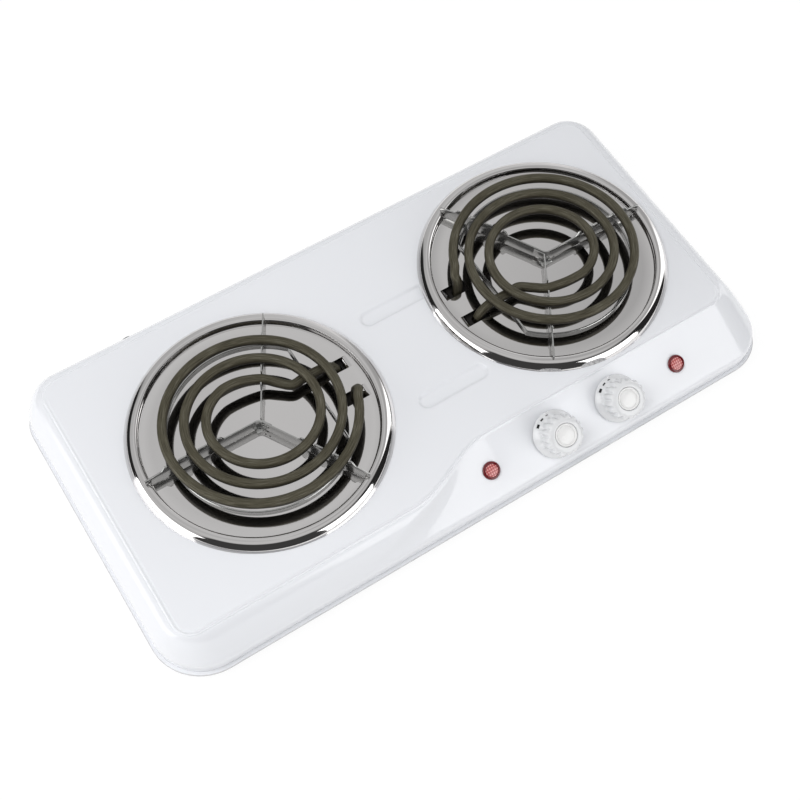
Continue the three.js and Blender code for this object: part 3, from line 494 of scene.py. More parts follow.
def plan(fall, grow, z):
    # outline of the body where fall is 0 at the deck and 1 at the upright band
    h = housing
    spread, lean = fall ** h["spread"], fall ** h["frontSpread"]
    west = -side + h["skirtLeft"] * (1 - spread) - grow
    east = side - h["skirtRight"] * (1 - spread) + grow
    north = edge - h["skirtBack"] * (1 - spread) + grow
    southLeft = -edge + h["skirtFront"] * (1 - lean) - grow
    southRight = -edge + h["panelDepth"] * (1 - fall) - grow
    frontLeft = h["deckCornerLeft"] + (h["rimCornerFrontLeft"] - h["deckCornerLeft"]) * spread + grow
    backLeft = h["deckCornerLeft"] + (h["rimCornerBackLeft"] - h["deckCornerLeft"]) * spread + grow
    right = h["deckCornerRight"] + (h["rimCornerRight"] - h["deckCornerRight"]) * spread + grow
    points = corner(west + frontLeft, southLeft + frontLeft, frontLeft, 180)
    bendFrom = lensSpot["left"].x - h["bendStart"] - h["bendLean"] * fall
    bendLength = h["bendLength"] + h["bendSpread"] * fall
    for i in range(h["bendSteps"] + 1):
        part = i / h["bendSteps"]
        swing = (1 - math.cos(math.pi * part)) / 2
        points.append((bendFrom + bendLength * part, southLeft + (southRight - southLeft) * swing))
    points += corner(east - right, southRight + right, right, 270)
    points += corner(east - right, north - right, right, 0)
    points += corner(west + backLeft, north - backLeft, backLeft, 90)
    return [(x, y + middleY, z) for x, y in points]


def mixed(first, second, third, part):
    # a ring on the curve from the first to the third, drawn toward the second
    a, b, c = (1 - part) ** 2, 2 * part * (1 - part), part ** 2
    return [tuple(a * p + b * q + c * r for p, q, r in zip(*trio)) for trio in zip(first, second, third)]


def skirtRings():
    h = housing
    rimTop = housingLow.z + h["rimHeight"]
    lipTop = housingLow.z + h["sheet"]
    back = middleY + edge - h["skirtBack"]
    right = side - h["skirtRight"]
    panelTop = middleY - edge + h["panelDepth"]

    def grooved(grow, groove, drop):
        # the groove is deep along the front, fades out toward the back and leaves the right side smooth
        points = []
        for x, y, z in plan(0, grow, deckZ - drop):
            near = min(max((back - y) / h["grooveRun"], 0), 1)
            depth = h["grooveBack"] + (h["grooveFront"] - h["grooveBack"]) * near * near * (3 - 2 * near)
            kept = min(max((right - x) / h["grooveEnd"], 1 + (panelTop - y) / h["grooveEnd"], 0), 1)
            points.append((x, y, z - groove * depth * kept))
        return points

    rings = [grooved(*step) for step in h["crease"]]
    width, drop = h["crease"][-1][0], h["crease"][-1][2]
    slope = h["skirtDrop"] - drop

    def level(fall):
        return plan(fall, width * (1 - fall), deckZ - drop - slope * fall)

    last = 1 - h["bandBend"] / slope
    rings += [level(last * (i / h["levels"]) ** 2) for i in range(1, h["levels"] + 1)]
    low = plan(1, 0, rimTop - h["bandBend"] * h["bandFoot"])
    rings += [mixed(rings[-1], level(1), low, k / h["bandSteps"]) for k in range(1, h["bandSteps"] + 1)]
    return rings + [plan(1, grow, lipTop + lift) for grow, lift in h["hem"]]


def stadium(grow, z, centre):
    half = (emboss["length"] - emboss["width"]) / 2
    radius = emboss["width"] / 2 + grow
    steps = emboss["steps"]
    points = []
    for way, start in ((1, -90), (-1, 90)):
        for i in range(steps + 1):
            angle = math.radians(start + 180 * i / steps)
            points.append((centre[0] + way * half + radius * math.cos(angle),
                           centre[1] + radius * math.sin(angle), z))
    return points


def embossDish(name, offset):
    centre = ((bowlSpot["left"].x + bowlSpot["right"].x) / 2 + emboss["shift"],
              (bowlSpot["left"].y + bowlSpot["right"].y) / 2 + offset)
    rings = [stadium(grow, deckZ - emboss["depth"] * drop, centre) for grow, drop in emboss["profile"]]
    return loft(name, rings, False, True)


def holeCutters():
    cutters = []
    o = openings
    long, wide, deep, reach = o["blockLong"], o["blockWide"], o["deckReach"], o["panelReach"]
    for hand in hands:
        burner = burnerMatrix(hand, elementShift[hand])
        block = box("cutBlock", (terminalX - long, -wide, -deep), (terminalX + long, wide, deep))
        cutters.append(placed(block, burner))
        cutters.append(placed(plug("cutScrew", screwHole, deep, o["screwSteps"]), burner))
        cutters.append(placed(plug("cutLens", o["lens"], reach), panelMatrix(lensSpot[hand])))
        cutters.append(placed(plug("cutBush", o["bush"], reach), panelMatrix(knobSpot[hand])))
    gland = centreOf("cord_gland")
    back = Matrix.Translation(Vector((gland.x, middleY + edge, gland.z)) * mm)
    tube = plug("cutGland", o["gland"], o["glandReach"])
    cutters.append(placed(tube, back @ Matrix.Rotation(-math.pi / 2, 4, "X")))
    return cutters


def makeHousing():
    # the skirt and the two recesses are joined, then the deck is filled in between their edges
    skin = loft("housingShell", skirtRings(), False, False)
    skin = joinAll(skin, embossDish("dishBack", emboss["behind"]), embossDish("dishFront", -emboss["ahead"]))
    bpy.ops.object.mode_set(mode="EDIT")
    bpy.ops.mesh.select_mode(type="EDGE")
    bpy.ops.mesh.select_all(action="DESELECT")
    shape = bmesh.from_edit_mesh(skin.data)
    for line in shape.edges:
        if line.is_boundary and all(abs(vertex.co.z - deckZ * mm) < close for vertex in line.verts):
            line.select_set(True)
    bmesh.update_edit_mesh(skin.data)
    bpy.ops.mesh.fill()
    bpy.ops.mesh.select_all(action="SELECT")
    bpy.ops.mesh.normals_make_consistent(inside=False)
    bpy.ops.object.mode_set(mode="OBJECT")
    faceUp(skin)
    modifier(skin, "SOLIDIFY", thickness=housing["skin"] * mm, offset=-1)
    for cutter in holeCutters():
        cutBy(skin, cutter)
    finished(smoothShade(skin, housing["smooth"]), enamel, "body", "enamel", "top_housing")


def makeTrim():
    lipTop = housingLow.z + housing["sheet"]
    rings = [plan(1, grow, lipTop + lift) for grow, lift in housing["trim"]]
    edging = modifier(loft("housingEdge", rings, False, False), "WELD", merge_threshold=close)
    finished(smoothShade(faceOutward(edging), housing["smooth"]), edgePaintedShade, "body", "enamel")


makeHousing()
makeTrim()
print("housing ready")


bowl = {
    "floor": 80.2, "band": 9.8, "crown": 6, "sheet": 0.8, "seat": 0.3, "around": 180, "smooth": 40,
    # the floor is flat round its hole and up to the wall's fillet
    "hubFlat": 3, "wallFlat": 8, "wall": 80.35, "fillet": 0.9, "filletArc": 87, "filletSteps": 5,
    # the rim from the wall over the crown to the deck: radius, slope where it starts and ends, steps
    "bends": [(1.2, -88, -20, 10), (5.2, -20, 0, 4), (6.3, 0, 50, 10), (16.9, 50, 64, 8)],
    "slotLength": 18.6, "slotWidth": 9.6, "slotBottom": -2, "slotTop": 3, "lipBend": 4.4, "lipSteps": 6,
}
floorZ = bowl["seat"] + bowl["sheet"]


def bowlProfile():
    b = bowl
    points = [(screwHole, floorZ), (screwHole + b["hubFlat"], floorZ), (b["floor"] - b["wallFlat"], floorZ)]
    for i in range(b["filletSteps"] + 1):
        angle = math.radians(b["filletArc"] * i / b["filletSteps"])
        points.append((b["wall"] - b["fillet"] * (1 - math.sin(angle)),
                       floorZ + b["fillet"] * (1 - math.cos(angle))))
    rim = [(b["wall"], 0)]
    for radius, first, last, steps in b["bends"]:
        for i in range(steps):
            before, after = (math.radians(first + (last - first) * (i + k) / steps) for k in (0, 1))
            rim.append((rim[-1][0] + radius * (math.sin(after) - math.sin(before)),
                        rim[-1][1] + radius * (math.cos(after) - math.cos(before))))
    lift = b["crown"] - max(z for r, z in rim)
    return points + [(r, z + lift) for r, z in rim[:-1]] + [(b["floor"] + b["band"], b["seat"])]


def makeBowl(hand):
    b = bowl
    rings = [circle(r, z, b["around"]) for r, z in bowlProfile()]
    piece = loft(f"{hand}DripBowl", rings, False, False)
    faceUp(piece)
    modifier(piece, "SOLIDIFY", thickness=b["sheet"] * mm, offset=-1)
    half, wide = b["slotLength"] / 2, b["slotWidth"] / 2
    for way in (1, -1):
        y = way * terminalY
        low, high = (terminalX - half, y - wide, b["slotBottom"]), (terminalX + half, y + wide, b["slotTop"])
        cutBy(piece, box("cutSlot", low, high))
        piece = joinAll(piece, slotLip(terminalX + half, y, wide))
    placed(piece, burnerMatrix(hand))
    finished(smoothShade(piece, b["smooth"]), chrome, "body", "chrome", f"{hand}_drip_bowl")


def slotLip(x, y, wide):
    # the sheet turned down at the far end of a slot
    b = bowl
    rings = []
    for i in range(b["lipSteps"] + 1):
        angle = math.radians(90 * i / b["lipSteps"])
        top, low = [(x - r * math.sin(angle), floorZ - b["lipBend"] + r * math.cos(angle))
                    for r in (b["lipBend"], b["lipBend"] - b["sheet"])]
        rings.append([(top[0], y - wide, top[1]), (top[0], y + wide, top[1]),
                      (low[0], y + wide, low[1]), (low[0], y - wide, low[1])])
    return loft("slotLip", rings)


for hand in hands:
    makeBowl(hand)
print("bowls ready")


coil = {
    "half": 3.2, "height": 15.6, "offset": -2, "depth": 10.2, "begin": 106, "end": 1062, "step": 4,
    # the spiral's radius grows over a part of each turn, and it is a little oval
    "start": 31.6, "pitch": 14.3, "turns": 3, "growthFrom": 189, "growthSpan": 212, "lastGrowth": 0.7,
    "oval": 0.55, "ovalAxis": 170,
    # the inner end passes under the turns: how far in from its terminal and how far below that pass
    "passGap": 0.6, "entry": [(1.5, 8.6), (5, 3.8), (10, 0.8), (16, 0), (26, 0)],
    # then it climbs into the first turn: angle, share of the start's radius and share of the climb
    "climb": [(21, 1.1, 0), (36, 0.98, 0.16), (55, 0.965, 0.43), (73, 0.94, 0.72), (90, 0.955, 0.94)],
    # the outer end goes down: how far past its terminal and how far below the turns
    "exit": [(3.4, 1.7), (0.7, 5.2), (0, 10)],
    "overlap": 12, "parts": 6, "steep": 0.3, "mapLength": 400,
    "around": 20, "topShape": 3.2, "underShape": 2.2, "smooth": 60,
}


def turnRadius(angle):
    c = coil
    done = math.floor((angle - c["growthFrom"]) / 360) + 1
    part = min(max((angle - c["growthFrom"] - 360 * (done - 1)) / c["growthSpan"], 0), 1)
    grown = part * part * (3 - 2 * part) * (1 if done < c["turns"] else c["lastGrowth"])
    turns = done - 1 + grown if done > 0 else 0
    return c["start"] + c["pitch"] * turns + c["oval"] * math.cos(2 * math.radians(angle - c["ovalAxis"]))


def throughPoints(points, parts):
    # a smooth line through the points
    line = []
    for i in range(len(points) - 1):
        a, b, c, d = (points[min(max(k, 0), len(points) - 1)] for k in (i - 1, i, i + 1, i + 2))
        ab, bc, cd = (max((q - p).length, close) ** 0.5 for p, q in ((a, b), (b, c), (c, d)))
        leave = (c - b) if i == 0 else ((b - a) / ab - (c - a) / (ab + bc) + (c - b) / bc) * bc
        arrive = (c - b) if i == len(points) - 2 else ((c - b) / bc - (d - b) / (bc + cd) + (d - c) / cd) * bc
        for k in range(parts):
            s = k / parts
            h00, h10 = 2 * s ** 3 - 3 * s ** 2 + 1, s ** 3 - 2 * s ** 2 + s
            h01, h11 = 3 * s ** 2 - 2 * s ** 3, s ** 3 - s ** 2
            line.append(b * h00 + leave * h10 + c * h01 + arrive * h11)
    return line + [points[-1]]


def coilLine():
    c = coil
    passZ = c["height"] - 2 * c["half"] - c["passGap"]
    dive = c["height"] - passZ

    def onTurn(angle):
        a, r = math.radians(angle), turnRadius(angle)
        return Vector((c["offset"] + r * math.cos(a), r * math.sin(a), c["height"]))

    def climbing(angle, share, lift):
        a, r = math.radians(angle), c["start"] * share
        return Vector((r * math.cos(a), r * math.sin(a), passZ + dive * lift))

    x, y, low, begin, parts = terminalX, terminalY, -c["depth"], c["begin"], c["parts"]
    points = [Vector((x, y, low)), Vector((x, y, low / 2))]
    points += [Vector((x - inward, y, passZ - below)) for inward, below in c["entry"]]
    points += [climbing(*spot) for spot in c["climb"]] + [onTurn(begin), onTurn(begin + c["overlap"])]
    entry = throughPoints(points, parts)[:-parts - 1]
    turns = [onTurn(begin + i * c["step"]) for i in range(int((c["end"] - begin) / c["step"]))]
    points = [onTurn(c["end"])]
    points += [Vector((x, -y - past, c["height"] - below)) for past, below in c["exit"]]
    return entry + turns + throughPoints(points + [Vector((x, -y, low))], parts)


def tubeSection():
    c = coil
    points = []
    for i in range(c["around"]):
        angle = turn * i / c["around"]
        shape = c["topShape"] if math.sin(angle) > 0 else c["underShape"]
        size = (abs(math.cos(angle)) ** shape + abs(math.sin(angle)) ** shape) ** (-1 / shape)
        points.append((c["half"] * size * math.cos(angle), c["half"] * size * math.sin(angle)))
    return points


def sweep(name, line, section):
    rings, lengths, heading, run = [], [], Vector((1, 0, 0)), 0
    for i, point in enumerate(line):
        along = (line[min(i + 1, len(line) - 1)] - line[max(i - 1, 0)]).normalized()
        level = Vector((along.x, along.y, 0))
        if level.length > coil["steep"]:
            heading = level.normalized()
        right = Vector((heading.y, -heading.x, 0))
        up = right.cross(along).normalized()
        rings.append([point + right * a + up * b for a, b in section])
        run += (point - line[max(i - 1, 0)]).length
        lengths.append(run / coil["mapLength"])
    return loft(name, rings, uvLength=lengths)


centreLine = coilLine()
firstCoil = sweep("leftHeatingCoil", centreLine, tubeSection())
smoothShade(firstCoil, coil["smooth"])
secondCoil = copied(firstCoil, "rightHeatingCoil", burnerMatrix("right", elementShift["right"]))
placed(firstCoil, burnerMatrix("left"))
finished(firstCoil, sheath, "body", "sheath", "left_coil_element")
finished(secondCoil, sheath, "body", "sheath", "right_coil_element")
print("coils ready")


spider = {
    "thick": 1, "gap": 0.3, "tooth": 15.6, "bevel": 0.12, "sharp": 40, "smooth": 30,
    "hub": 7, "hubSheet": 0.8, "hubPlate": 4, "hubBevel": 0.2,
    # one leg stands by itself, a little to the side, and the other two are one strip folded at the hub
    "angles": (60, 180, 300), "root": 1.2, "aside": 1.4, "corner": 2.2, "cornerReach": 1.2, "cornerSteps": 8,
    # the leg's end: its share of the rim's width, its drop, and its heel inside the bowl's wall
    "over": 0.33, "endDrop": 1.6, "heel": 1.6, "toe": 0.5, "toeLift": 1.4,
    # the upper edge below the coil, the notches and the slopes beyond the last teeth
    "sink": 0.4, "notchRise": 1.6, "notchCorner": 1.2, "flare": 0.3, "toothFlat": 2.2, "toothFoot": 4.6,
    # the tab that ties the legs together at the hub, with its welds in radius and height
    "tabStart": 1, "tab": 9, "tabLow": 4.2, "tabHigh": 10.6, "tabGap": 0.05,
    "weldRuns": (3.4, 6.8), "weldSteps": 16, "weld": [(1.1, 0), (0.95, 0.25), (0.5, 0.42), (0.15, 0.3)],
    "ringRadius": 63, "ringChord": 46, "ringSheet": 1.3, "ringHeight": 2.4, "ringSeat": 0.05,
    "ringRound": 0.25, "ringSteps": 120,
}
legTop = coil["height"] - coil["half"] - spider["gap"]


def crossings(angle, aside):
    out = Vector((math.cos(angle), math.sin(angle), 0))
    across = Vector((-out.y, out.x, 0))
    found = []
    for a, b in zip(centreLine, centreLine[1:]):
        before, after = a.dot(across) - aside, b.dot(across) - aside
        if before * after <= 0 and before != after:
            hit = a.lerp(b, before / (before - after))
            if hit.dot(out) > 0:
                found.append((hit.dot(out), hit.z))
    return sorted(found)


def legEdge(angle, aside, shift):
    # the leg's outline from the hub out along the floor, over the rim and back over the teeth
    s = spider
    gap, tooth, crown = s["gap"], s["tooth"], bowl["crown"]
    wall = bowl["floor"] + shift * math.cos(angle)
    outer = wall + bowl["band"] * s["over"]
    ringIn, ringOut = s["ringRadius"] - s["ringSheet"] - gap, s["ringRadius"] + gap
    base, ringTop = floorZ + gap / 3, floorZ + s["ringHeight"] + 2 * gap
    notch = coil["half"] + 2 * gap
    seats = crossings(angle, aside)
    last, first = seats[-1][0] + notch, seats[0][0] - notch
    low = [(s["hub"] + gap, base), (ringIn, base), (ringIn, ringTop), (ringOut, ringTop), (ringOut, base),
           (wall - s["heel"], base), (wall - s["toe"], floorZ + s["toeLift"]),
           (wall - gap, crown + gap), (outer, crown + gap)]
    high = [(outer, legTop - s["endDrop"]), (last + s["toothFoot"], legTop - s["sink"]),
            (last + s["toothFlat"], tooth)]
    for radius, height in reversed(seats):
        far, near, under = radius + notch, radius - notch, height - coil["half"] - gap
        high += [(far + s["flare"], tooth), (far, under + s["notchRise"]), (far - s["notchCorner"], under),
                 (near + s["notchCorner"], under), (near, under + s["notchRise"]), (near - s["flare"], tooth)]
    high += [(first - s["toothFlat"], tooth), (first - s["toothFoot"], legTop - s["sink"])]
    return low, high


def stripPiece(name, outline, place):
    # a flat outline of (run, height) pairs, given its thickness and laid along place(run, side)
    half = spider["thick"] / 2
    rings = [[(*place(run, way * half), height) for run, height in outline] for way in (-1, 1)]
    return modifier(faceOutward(loft(name, rings)), "BEVEL", width=spider["bevel"] * mm, segments=2,
                    limit_method="ANGLE", angle_limit=math.radians(spider["sharp"]))


def straightAlong(angle, aside):
    out = (math.cos(angle), math.sin(angle))
    return lambda run, side: (run * out[0] - (aside + side) * out[1],
                              run * out[1] + (aside + side) * out[0])


def bentAlong(angleBack, angleOn, radius):
    # runs in along one direction and out along another, round a small bend at the hub
    back = Vector((math.cos(angleBack), math.sin(angleBack)))
    on = Vector((math.cos(angleOn), math.sin(angleOn)))

    def place(run, side):
        reach = radius * spider["cornerReach"]
        if abs(run) >= reach:
            spot, along = (on * run, on) if run > 0 else (back * -run, -back)
        else:
            part = (run + reach) / (2 * reach)
            spot = back * reach * (1 - part) ** 2 + on * reach * part ** 2
            along = (-back * (1 - part) + on * part).normalized()
        return (spot.x - side * along.y, spot.y + side * along.x)
    return place


def makeSpider(hand):
    s = spider
    shift, half, reach = elementShift[hand], s["thick"] / 2, s["corner"] * s["cornerReach"]
    bottom, top = floorZ + s["hubSheet"] + s["gap"], legTop - s["sink"]
    first, second, third = (math.radians(angle) for angle in s["angles"])

    def leg(name, angle, aside, start):
        low, high = legEdge(angle, aside, shift)
        outline = [(start, bottom), (s["hub"] + s["gap"], bottom)] + low + high + [(start, top)]
        return stripPiece(name, outline, straightAlong(angle, aside))

    single = leg(f"{hand}Spider", first, -s["aside"], s["root"])
    straights = [leg("straight", angle, 0, reach) for angle in (second, third)]
    fold = bentAlong(second, third, s["corner"])
    steps = [reach * k / s["cornerSteps"] for k in range(-s["cornerSteps"], s["cornerSteps"] + 1)]
    square = ((-1, bottom), (1, bottom), (1, top), (-1, top))
    sections = [[(*fold(run, way * half), z) for way, z in square] for run in steps]
    folded = joinAll(faceOutward(loft("fold", sections)), *straights)
    start, end, low, high = s["tabStart"], s["tab"], s["tabLow"], s["tabHigh"]
    tab = stripPiece("tab", [(start, low), (end, low), (end, high), (start, high)],
                     straightAlong(third, s["thick"] + s["tabGap"]))
    welds = []
    for run in s["weldRuns"]:
        x, y = straightAlong(third, -half)(run, 0)
        spot = Matrix.Translation(Vector((x, y, (low + high) / 2)) * mm)
        facing = Matrix.Rotation(third + math.pi, 4, "Z") @ Matrix.Rotation(-math.pi / 2, 4, "X")
        welds.append(placed(turned("weld", s["weld"], s["weldSteps"]), spot @ facing))
    wide = s["hubPlate"]
    foot = box("foot", (-wide, -wide, floorZ), (wide, wide, floorZ + s["hubSheet"]), s["hubBevel"])
    whole = placed(joinAll(single, folded, tab, foot, *welds), burnerMatrix(hand, shift))
    legs = [f"{hand}_support_leg_{i}" for i in (1, 2, 3)]
    finished(smoothShade(whole, s["smooth"]), strip, "body", "bright_strip", *legs, f"{hand}_hub_plate")


def ringLine(radius, chord):
    half, steps = math.acos(chord / radius), spider["ringSteps"]
    angles = [half + (turn - 2 * half) * i / steps for i in range(steps + 1)]
    return [(radius * math.cos(angle), radius * math.sin(angle)) for angle in angles]


def makeRing(hand):
    s = spider
    rounded = s["ringRound"]
    low, high = floorZ + s["ringSeat"], floorZ + s["gap"] + s["ringHeight"]
    outer = ringLine(s["ringRadius"], s["ringChord"])
    inner = ringLine(s["ringRadius"] - s["ringSheet"], s["ringChord"] - s["ringSheet"])

    def between(part):
        return [(a + (c - a) * part, b + (d - b) * part) for (a, b), (c, d) in zip(outer, inner)]

    layers = [(outer, low), (outer, high - rounded), (between(rounded), high), (between(1 - rounded), high),
              (inner, high - rounded), (inner, low), (outer, low)]
    piece = loft(f"{hand}SupportRing", [[(x, y, z) for x, y in line] for line, z in layers], False, False)
    modifier(piece, "WELD", merge_threshold=close)
    placed(faceOutward(piece), burnerMatrix(hand, elementShift[hand]))
    finished(smoothShade(piece, s["smooth"]), strip, "body", "bright_strip", f"{hand}_support_ring")


for hand in hands:
    makeSpider(hand)
    makeRing(hand)
print("spiders and rings ready")


knob = {
    "around": 192, "flutes": 16, "fluteDepth": 1.65, "fluteShape": 1.6, "wall": 0.9, "smooth": 45,
    # radius, height and depth of the flutes, from the skirt's edge up the grip and into the well of the cap
    "profile": [(16.1, 0.9, 0), (16.6, 1.3, 0), (16.6, 2.1, 0), (16.3, 2.7, 0), (15.4, 3.9, 0),
                (14.4, 5.4, 0.15), (13.75, 6.5, 0.55), (13.6, 7.4, 0.95), (13.7, 9, 1), (13.95, 12, 1),
                (14.2, 15.2, 1), (14.05, 16.6, 1), (13.66, 17.6, 0.9), (13.2, 18.5, 0.6), (12.5, 19.3, 0.3),
                (11.5, 19.85, 0.1), (10.4, 20.15, 0), (9.2, 20.25, 0), (8.45, 20.2, 0), (8.2, 19.9, 0),
                (8.15, 18.6, 0), (6, 18.5, 0)],
    # the printed marks lie between two of those rings: angle to the left of the index, length and width
    "marks": [(4, 2, 0.7), (22, 2.4, 1.15), (42, 2.8, 1.9)],
    "markRings": (3, 5), "markRadius": 15, "markSlope": 3.3, "markAt": 0.7, "markLift": 0.06, "markOut": 0.05,
    # the index bump and the cap, in radius and height
    "bumpAt": 15.6, "bumpSteps": 20, "bump": [(1.1, 1.8), (1.1, 3.1), (0.95, 3.5), (0.6, 3.75), (0.2, 3.85)],
    "capSteps": 96, "cap": [(7.85, 18.7), (7.85, 19.8), (7.7, 20.05), (7.35, 20.15), (6.8, 20), (6.5, 19.5),
                            (6.3, 19.35), (6.1, 19.45), (5.8, 19.6), (4, 19.75), (1, 19.8)],
}


def knobRing(radius, z, depth):
    points = []
    for i in range(knob["around"]):
        angle = turn * i / knob["around"]
        wave = (0.5 + 0.5 * math.cos(knob["flutes"] * angle)) ** knob["fluteShape"]
        r = radius - depth * knob["fluteDepth"] * wave
        points.append((r * math.cos(angle), r * math.sin(angle), z))
    return points


def coneSpot(angle, along):
    # a place on the knob's skirt, along is 0 at its outer edge and 1 at the foot of the grip
    outer, inner = (knob["profile"][i] for i in knob["markRings"])
    r, z = (outer[i] + (inner[i] - outer[i]) * along for i in (0, 1))
    a = math.radians(90 + angle)
    return Vector((r * math.cos(a), r * math.sin(a), z))


def makeMark(angle, length, width):
    k = knob
    reach, half = math.degrees(length / 2 / k["markRadius"]), width / 2 / k["markSlope"]
    up = Vector((0, 0, k["markLift"]))
    rings = []
    for lift in (-0.5, 1):          # half as deep as it stands out
        ring = []
        for sideways, way in ((-1, -1), (0, -1), (1, -1), (1, 1), (0, 1), (-1, 1)):
            spot = coneSpot(angle + sideways * reach, k["markAt"] + way * half)
            out = Vector((spot.x, spot.y, 0)).normalized() * k["markOut"]
            ring.append(spot + (up + out) * lift)
        rings.append(ring)
    return faceOutward(loft("dialMark", rings))


def makeKnob(hand):
    k = knob
    matrix = panelMatrix(knobSpot[hand])
    body = loft(f"{hand}Knob", [knobRing(*level) for level in k["profile"]], False, True)
    modifier(body, "SOLIDIFY", thickness=k["wall"] * mm, offset=-1)
    faceOutward(body)
    bump = turned("indexBump", k["bump"], k["bumpSteps"], (0, k["bumpAt"]))
    body = smoothShade(joinAll(body, bump), k["smooth"])
    finished(placed(body, matrix), knobWhite, f"{hand}_dial", "knob_white", f"{hand}_knob")
    prints = joinAll(*[makeMark(*mark) for mark in k["marks"]])
    prints.name = prints.data.name = f"{hand}DialMarks"
    finished(placed(prints, matrix), markBlack, f"{hand}_dial", "knob_white")
    cap = smoothShade(turned(f"{hand}KnobCap", k["cap"], k["capSteps"]), k["smooth"])
    finished(placed(cap, matrix), capWhite, f"{hand}_dial", "cap_white", f"{hand}_knob_cap")


lens = {
    # the dark edge and the lighter middle, in radius and height
    "edge": [(4.6, -3), (4.6, 0.2), (6.35, 0.3), (6.35, 1), (6.1, 1.5), (5.6, 1.85), (5, 1.95), (4.75, 1.8),
             (4.6, 1.3), (2, 1.3)],
    "middle": [(4.5, 1.25), (4.5, 1.6), (4.2, 1.8), (3, 2), (1, 2.1)],
    "edgeSteps": 64, "middleSteps": 48, "smooth": 35,
}


def makeLens(hand):
    matrix = panelMatrix(lensSpot[hand])
    bezel = smoothShade(turned(f"{hand}PilotLens", lens["edge"], lens["edgeSteps"]), lens["smooth"])
    finished(placed(bezel, matrix), lensEdge, "body", "lens_red", f"{hand}_pilot_lens")
    middle = smoothShade(turned(f"{hand}LensMiddle", lens["middle"], lens["middleSteps"]), lens["smooth"])
    finished(placed(middle, matrix), lensMiddle, "body", "lens_red")


for hand in hands:
    makeKnob(hand)
    makeLens(hand)
print("controls ready")


def dress(material, *nodes):
    for node in nodes:
        piece = frame["nodes"][node]
        piece.data.materials.clear()
        piece.data.materials.append(material)


def both(*parts):
    return [f"{hand}_{part}" for hand in hands for part in parts]


corners = ("front_left", "front_right", "back_right", "back_left")
dress(zinc, "base_plate", *both("mounting_bracket"))
dress(rubber, "cord_gland", *(f"foot_{spot}" for spot in corners))
dress(screwSteel, "earth_screw", *(f"foot_screw_{spot}" for spot in corners),
      *both("hub_screw", "thermostat_shaft", "bush_nut"))
dress(ceramic, "mains_terminal_block", *both("terminal_block"))
dress(phenolic, *both("thermostat"))
dress(lampHolder, *both("pilot_lamp"))
dress(brownSleeve, *(f"{kind}_lead_{hand}" for kind in ("live", "switched") for hand in hands))
dress(blueSleeve, *(f"neutral_lead_{hand}" for hand in hands))
dress(greySleeve, *(f"pilot_lead_{hand}" for hand in hands))
print("inner pieces dressed")


studio = {
    "floorSize": 6, "floorColor": 0.12, "floorGlow": 0.91,
    # brightness round the room at each azimuth, anticlockwise from +X, below and above the ceiling's edge
    "walls": [(0, 1.75), (14, 1.65), (21, 0.4), (38, 0.4), (46, 0.8), (60, 0.6), (80, 0.5), (100, 0.46),
              (106, 0.02), (145, 0.02), (148, 0.5), (190, 0.5), (197, 0.05), (274, 0.05), (278, 0.15),
              (314, 0.15), (318, 0.02), (353, 0.02), (358, 1.75), (360, 1.75)],
    "ceiling": [(0, 0.5), (38, 0.42), (46, 0.5), (54, 0.58), (70, 0.62), (90, 0.52), (125, 0.52),
                (160, 0.6), (325, 0.6), (360, 0.5)],
    # sine of the height where the ceiling starts
    "edge": [(0, 0.85), (28, 0.7), (60, 0.7), (72, 0.85), (96, 0.85), (104, 0.62), (150, 0.62),
             (160, 0.85), (360, 0.85)],
    "fade": 0.05,
}
softboxes = {
    "leftSoftbox": {
        "azimuth": 172, "elevation": 18, "distance": 3, "width": 2.6, "height": 1.9, "radiance": 1.9},
    "frontSoftbox": {
        "azimuth": 295, "elevation": 21, "distance": 1.9, "width": 1.4, "height": 1.25, "radiance": 2.3},
    "topSoftbox": {
        "azimuth": 190, "elevation": 64, "distance": 1.4, "width": 0.9, "height": 0.9, "radiance": 3.5,
        "mirrored": False},
}
cameraSpot = {
    "place": (-249.1, -405.1, 859.6), "azimuth": 35.88, "elevation": 61.53, "roll": 3.38,
    "lens": 61.38, "shiftX": -0.0633, "shiftY": 0.0014, "sensor": 36, "near": 0.01, "far": 50,
}


def makeFloor():
    clearSelection()
    bpy.ops.mesh.primitive_plane_add(size=studio["floorSize"])
    floor = bpy.context.object
    floor.name = "floor"
    grey = studio["floorColor"]
    material = newMaterial("paleFloor", (grey, grey, grey), 0.9, Specular_IOR_Level=0.0,
                           Emission_Color=(1, 1, 1, 1), Emission_Strength=studio["floorGlow"])
    floor.data.materials.append(material)


def roomRamp(tree, azimuth, part):
    stops = [(degrees / 360, (value, value, value)) for degrees, value in studio[part]]
    return colorRamp(tree, azimuth, stops)


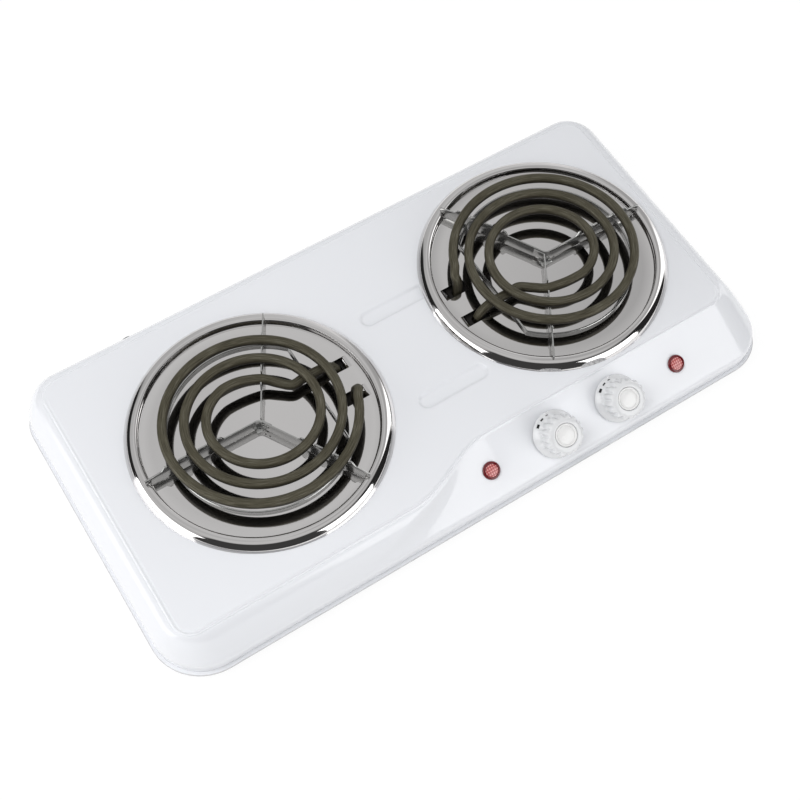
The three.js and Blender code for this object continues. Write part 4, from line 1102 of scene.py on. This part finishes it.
def makeWorld():
    world = bpy.data.worlds.new("studio")
    bpy.context.scene.world = world
    world.use_nodes = True
    tree = world.node_tree
    coordinates = tree.nodes.new("ShaderNodeTexCoord")
    parts = tree.nodes.new("ShaderNodeSeparateXYZ")
    tree.links.new(coordinates.outputs["Generated"], parts.inputs[0])
    x, y, z = parts.outputs
    azimuth = mathNode(tree, "FRACT", mathNode(tree, "DIVIDE", mathNode(tree, "ARCTAN2", y, x), turn))
    above = mathNode(tree, "SUBTRACT", z, roomRamp(tree, azimuth, "edge"))
    elevation = mapRange(tree, above, (-studio["fade"], studio["fade"]), shape="SMOOTHSTEP")
    walls, ceiling = (roomRamp(tree, azimuth, part) for part in ("walls", "ceiling"))
    room = mixColors(tree, walls, ceiling, elevation)
    seenByCamera = tree.nodes.new("ShaderNodeLightPath").outputs["Is Camera Ray"]
    backdrop = mixColors(tree, room, (1, 1, 1, 1), seenByCamera)      # plain white behind the object
    tree.links.new(backdrop, tree.nodes["Background"].inputs["Color"])


def makeSoftbox(name, azimuth, elevation, distance, width, height, radiance, mirrored=True):
    a, e = math.radians(azimuth), math.radians(elevation)
    out = Vector((math.cos(e) * math.cos(a), math.cos(e) * math.sin(a), math.sin(e)))
    clearSelection()
    bpy.ops.object.light_add(type="AREA", location=out * distance)
    lamp = bpy.context.object
    lamp.name = lamp.data.name = name
    lamp.data.shape = "RECTANGLE"
    lamp.data.size, lamp.data.size_y = width, height
    lamp.data.energy = radiance * math.pi * width * height
    lamp.rotation_mode = "QUATERNION"
    lamp.rotation_quaternion = out.to_track_quat("Z", "Y")
    lamp.visible_camera = False
    lamp.visible_glossy = mirrored


def makeCamera():
    c = cameraSpot
    bpy.ops.object.camera_add(location=Vector(c["place"]) * mm)
    camera = bpy.context.object
    camera.rotation_mode = "QUATERNION"
    facing = (Matrix.Rotation(math.radians(-c["azimuth"]), 3, "Z")
              @ Matrix.Rotation(math.radians(90 - c["elevation"]), 3, "X")
              @ Matrix.Rotation(math.radians(c["roll"]), 3, "Z"))
    camera.rotation_quaternion = facing.to_quaternion()
    camera.data.lens = c["lens"]
    camera.data.sensor_width = c["sensor"]
    camera.data.shift_x, camera.data.shift_y = c["shiftX"], c["shiftY"]
    camera.data.clip_start, camera.data.clip_end = c["near"], c["far"]
    bpy.context.scene.camera = camera


makeFloor()
makeWorld()
for name, values in softboxes.items():
    makeSoftbox(name, **values)
makeCamera()
bpy.context.scene.view_settings.view_transform = "Standard"
print("studio ready")
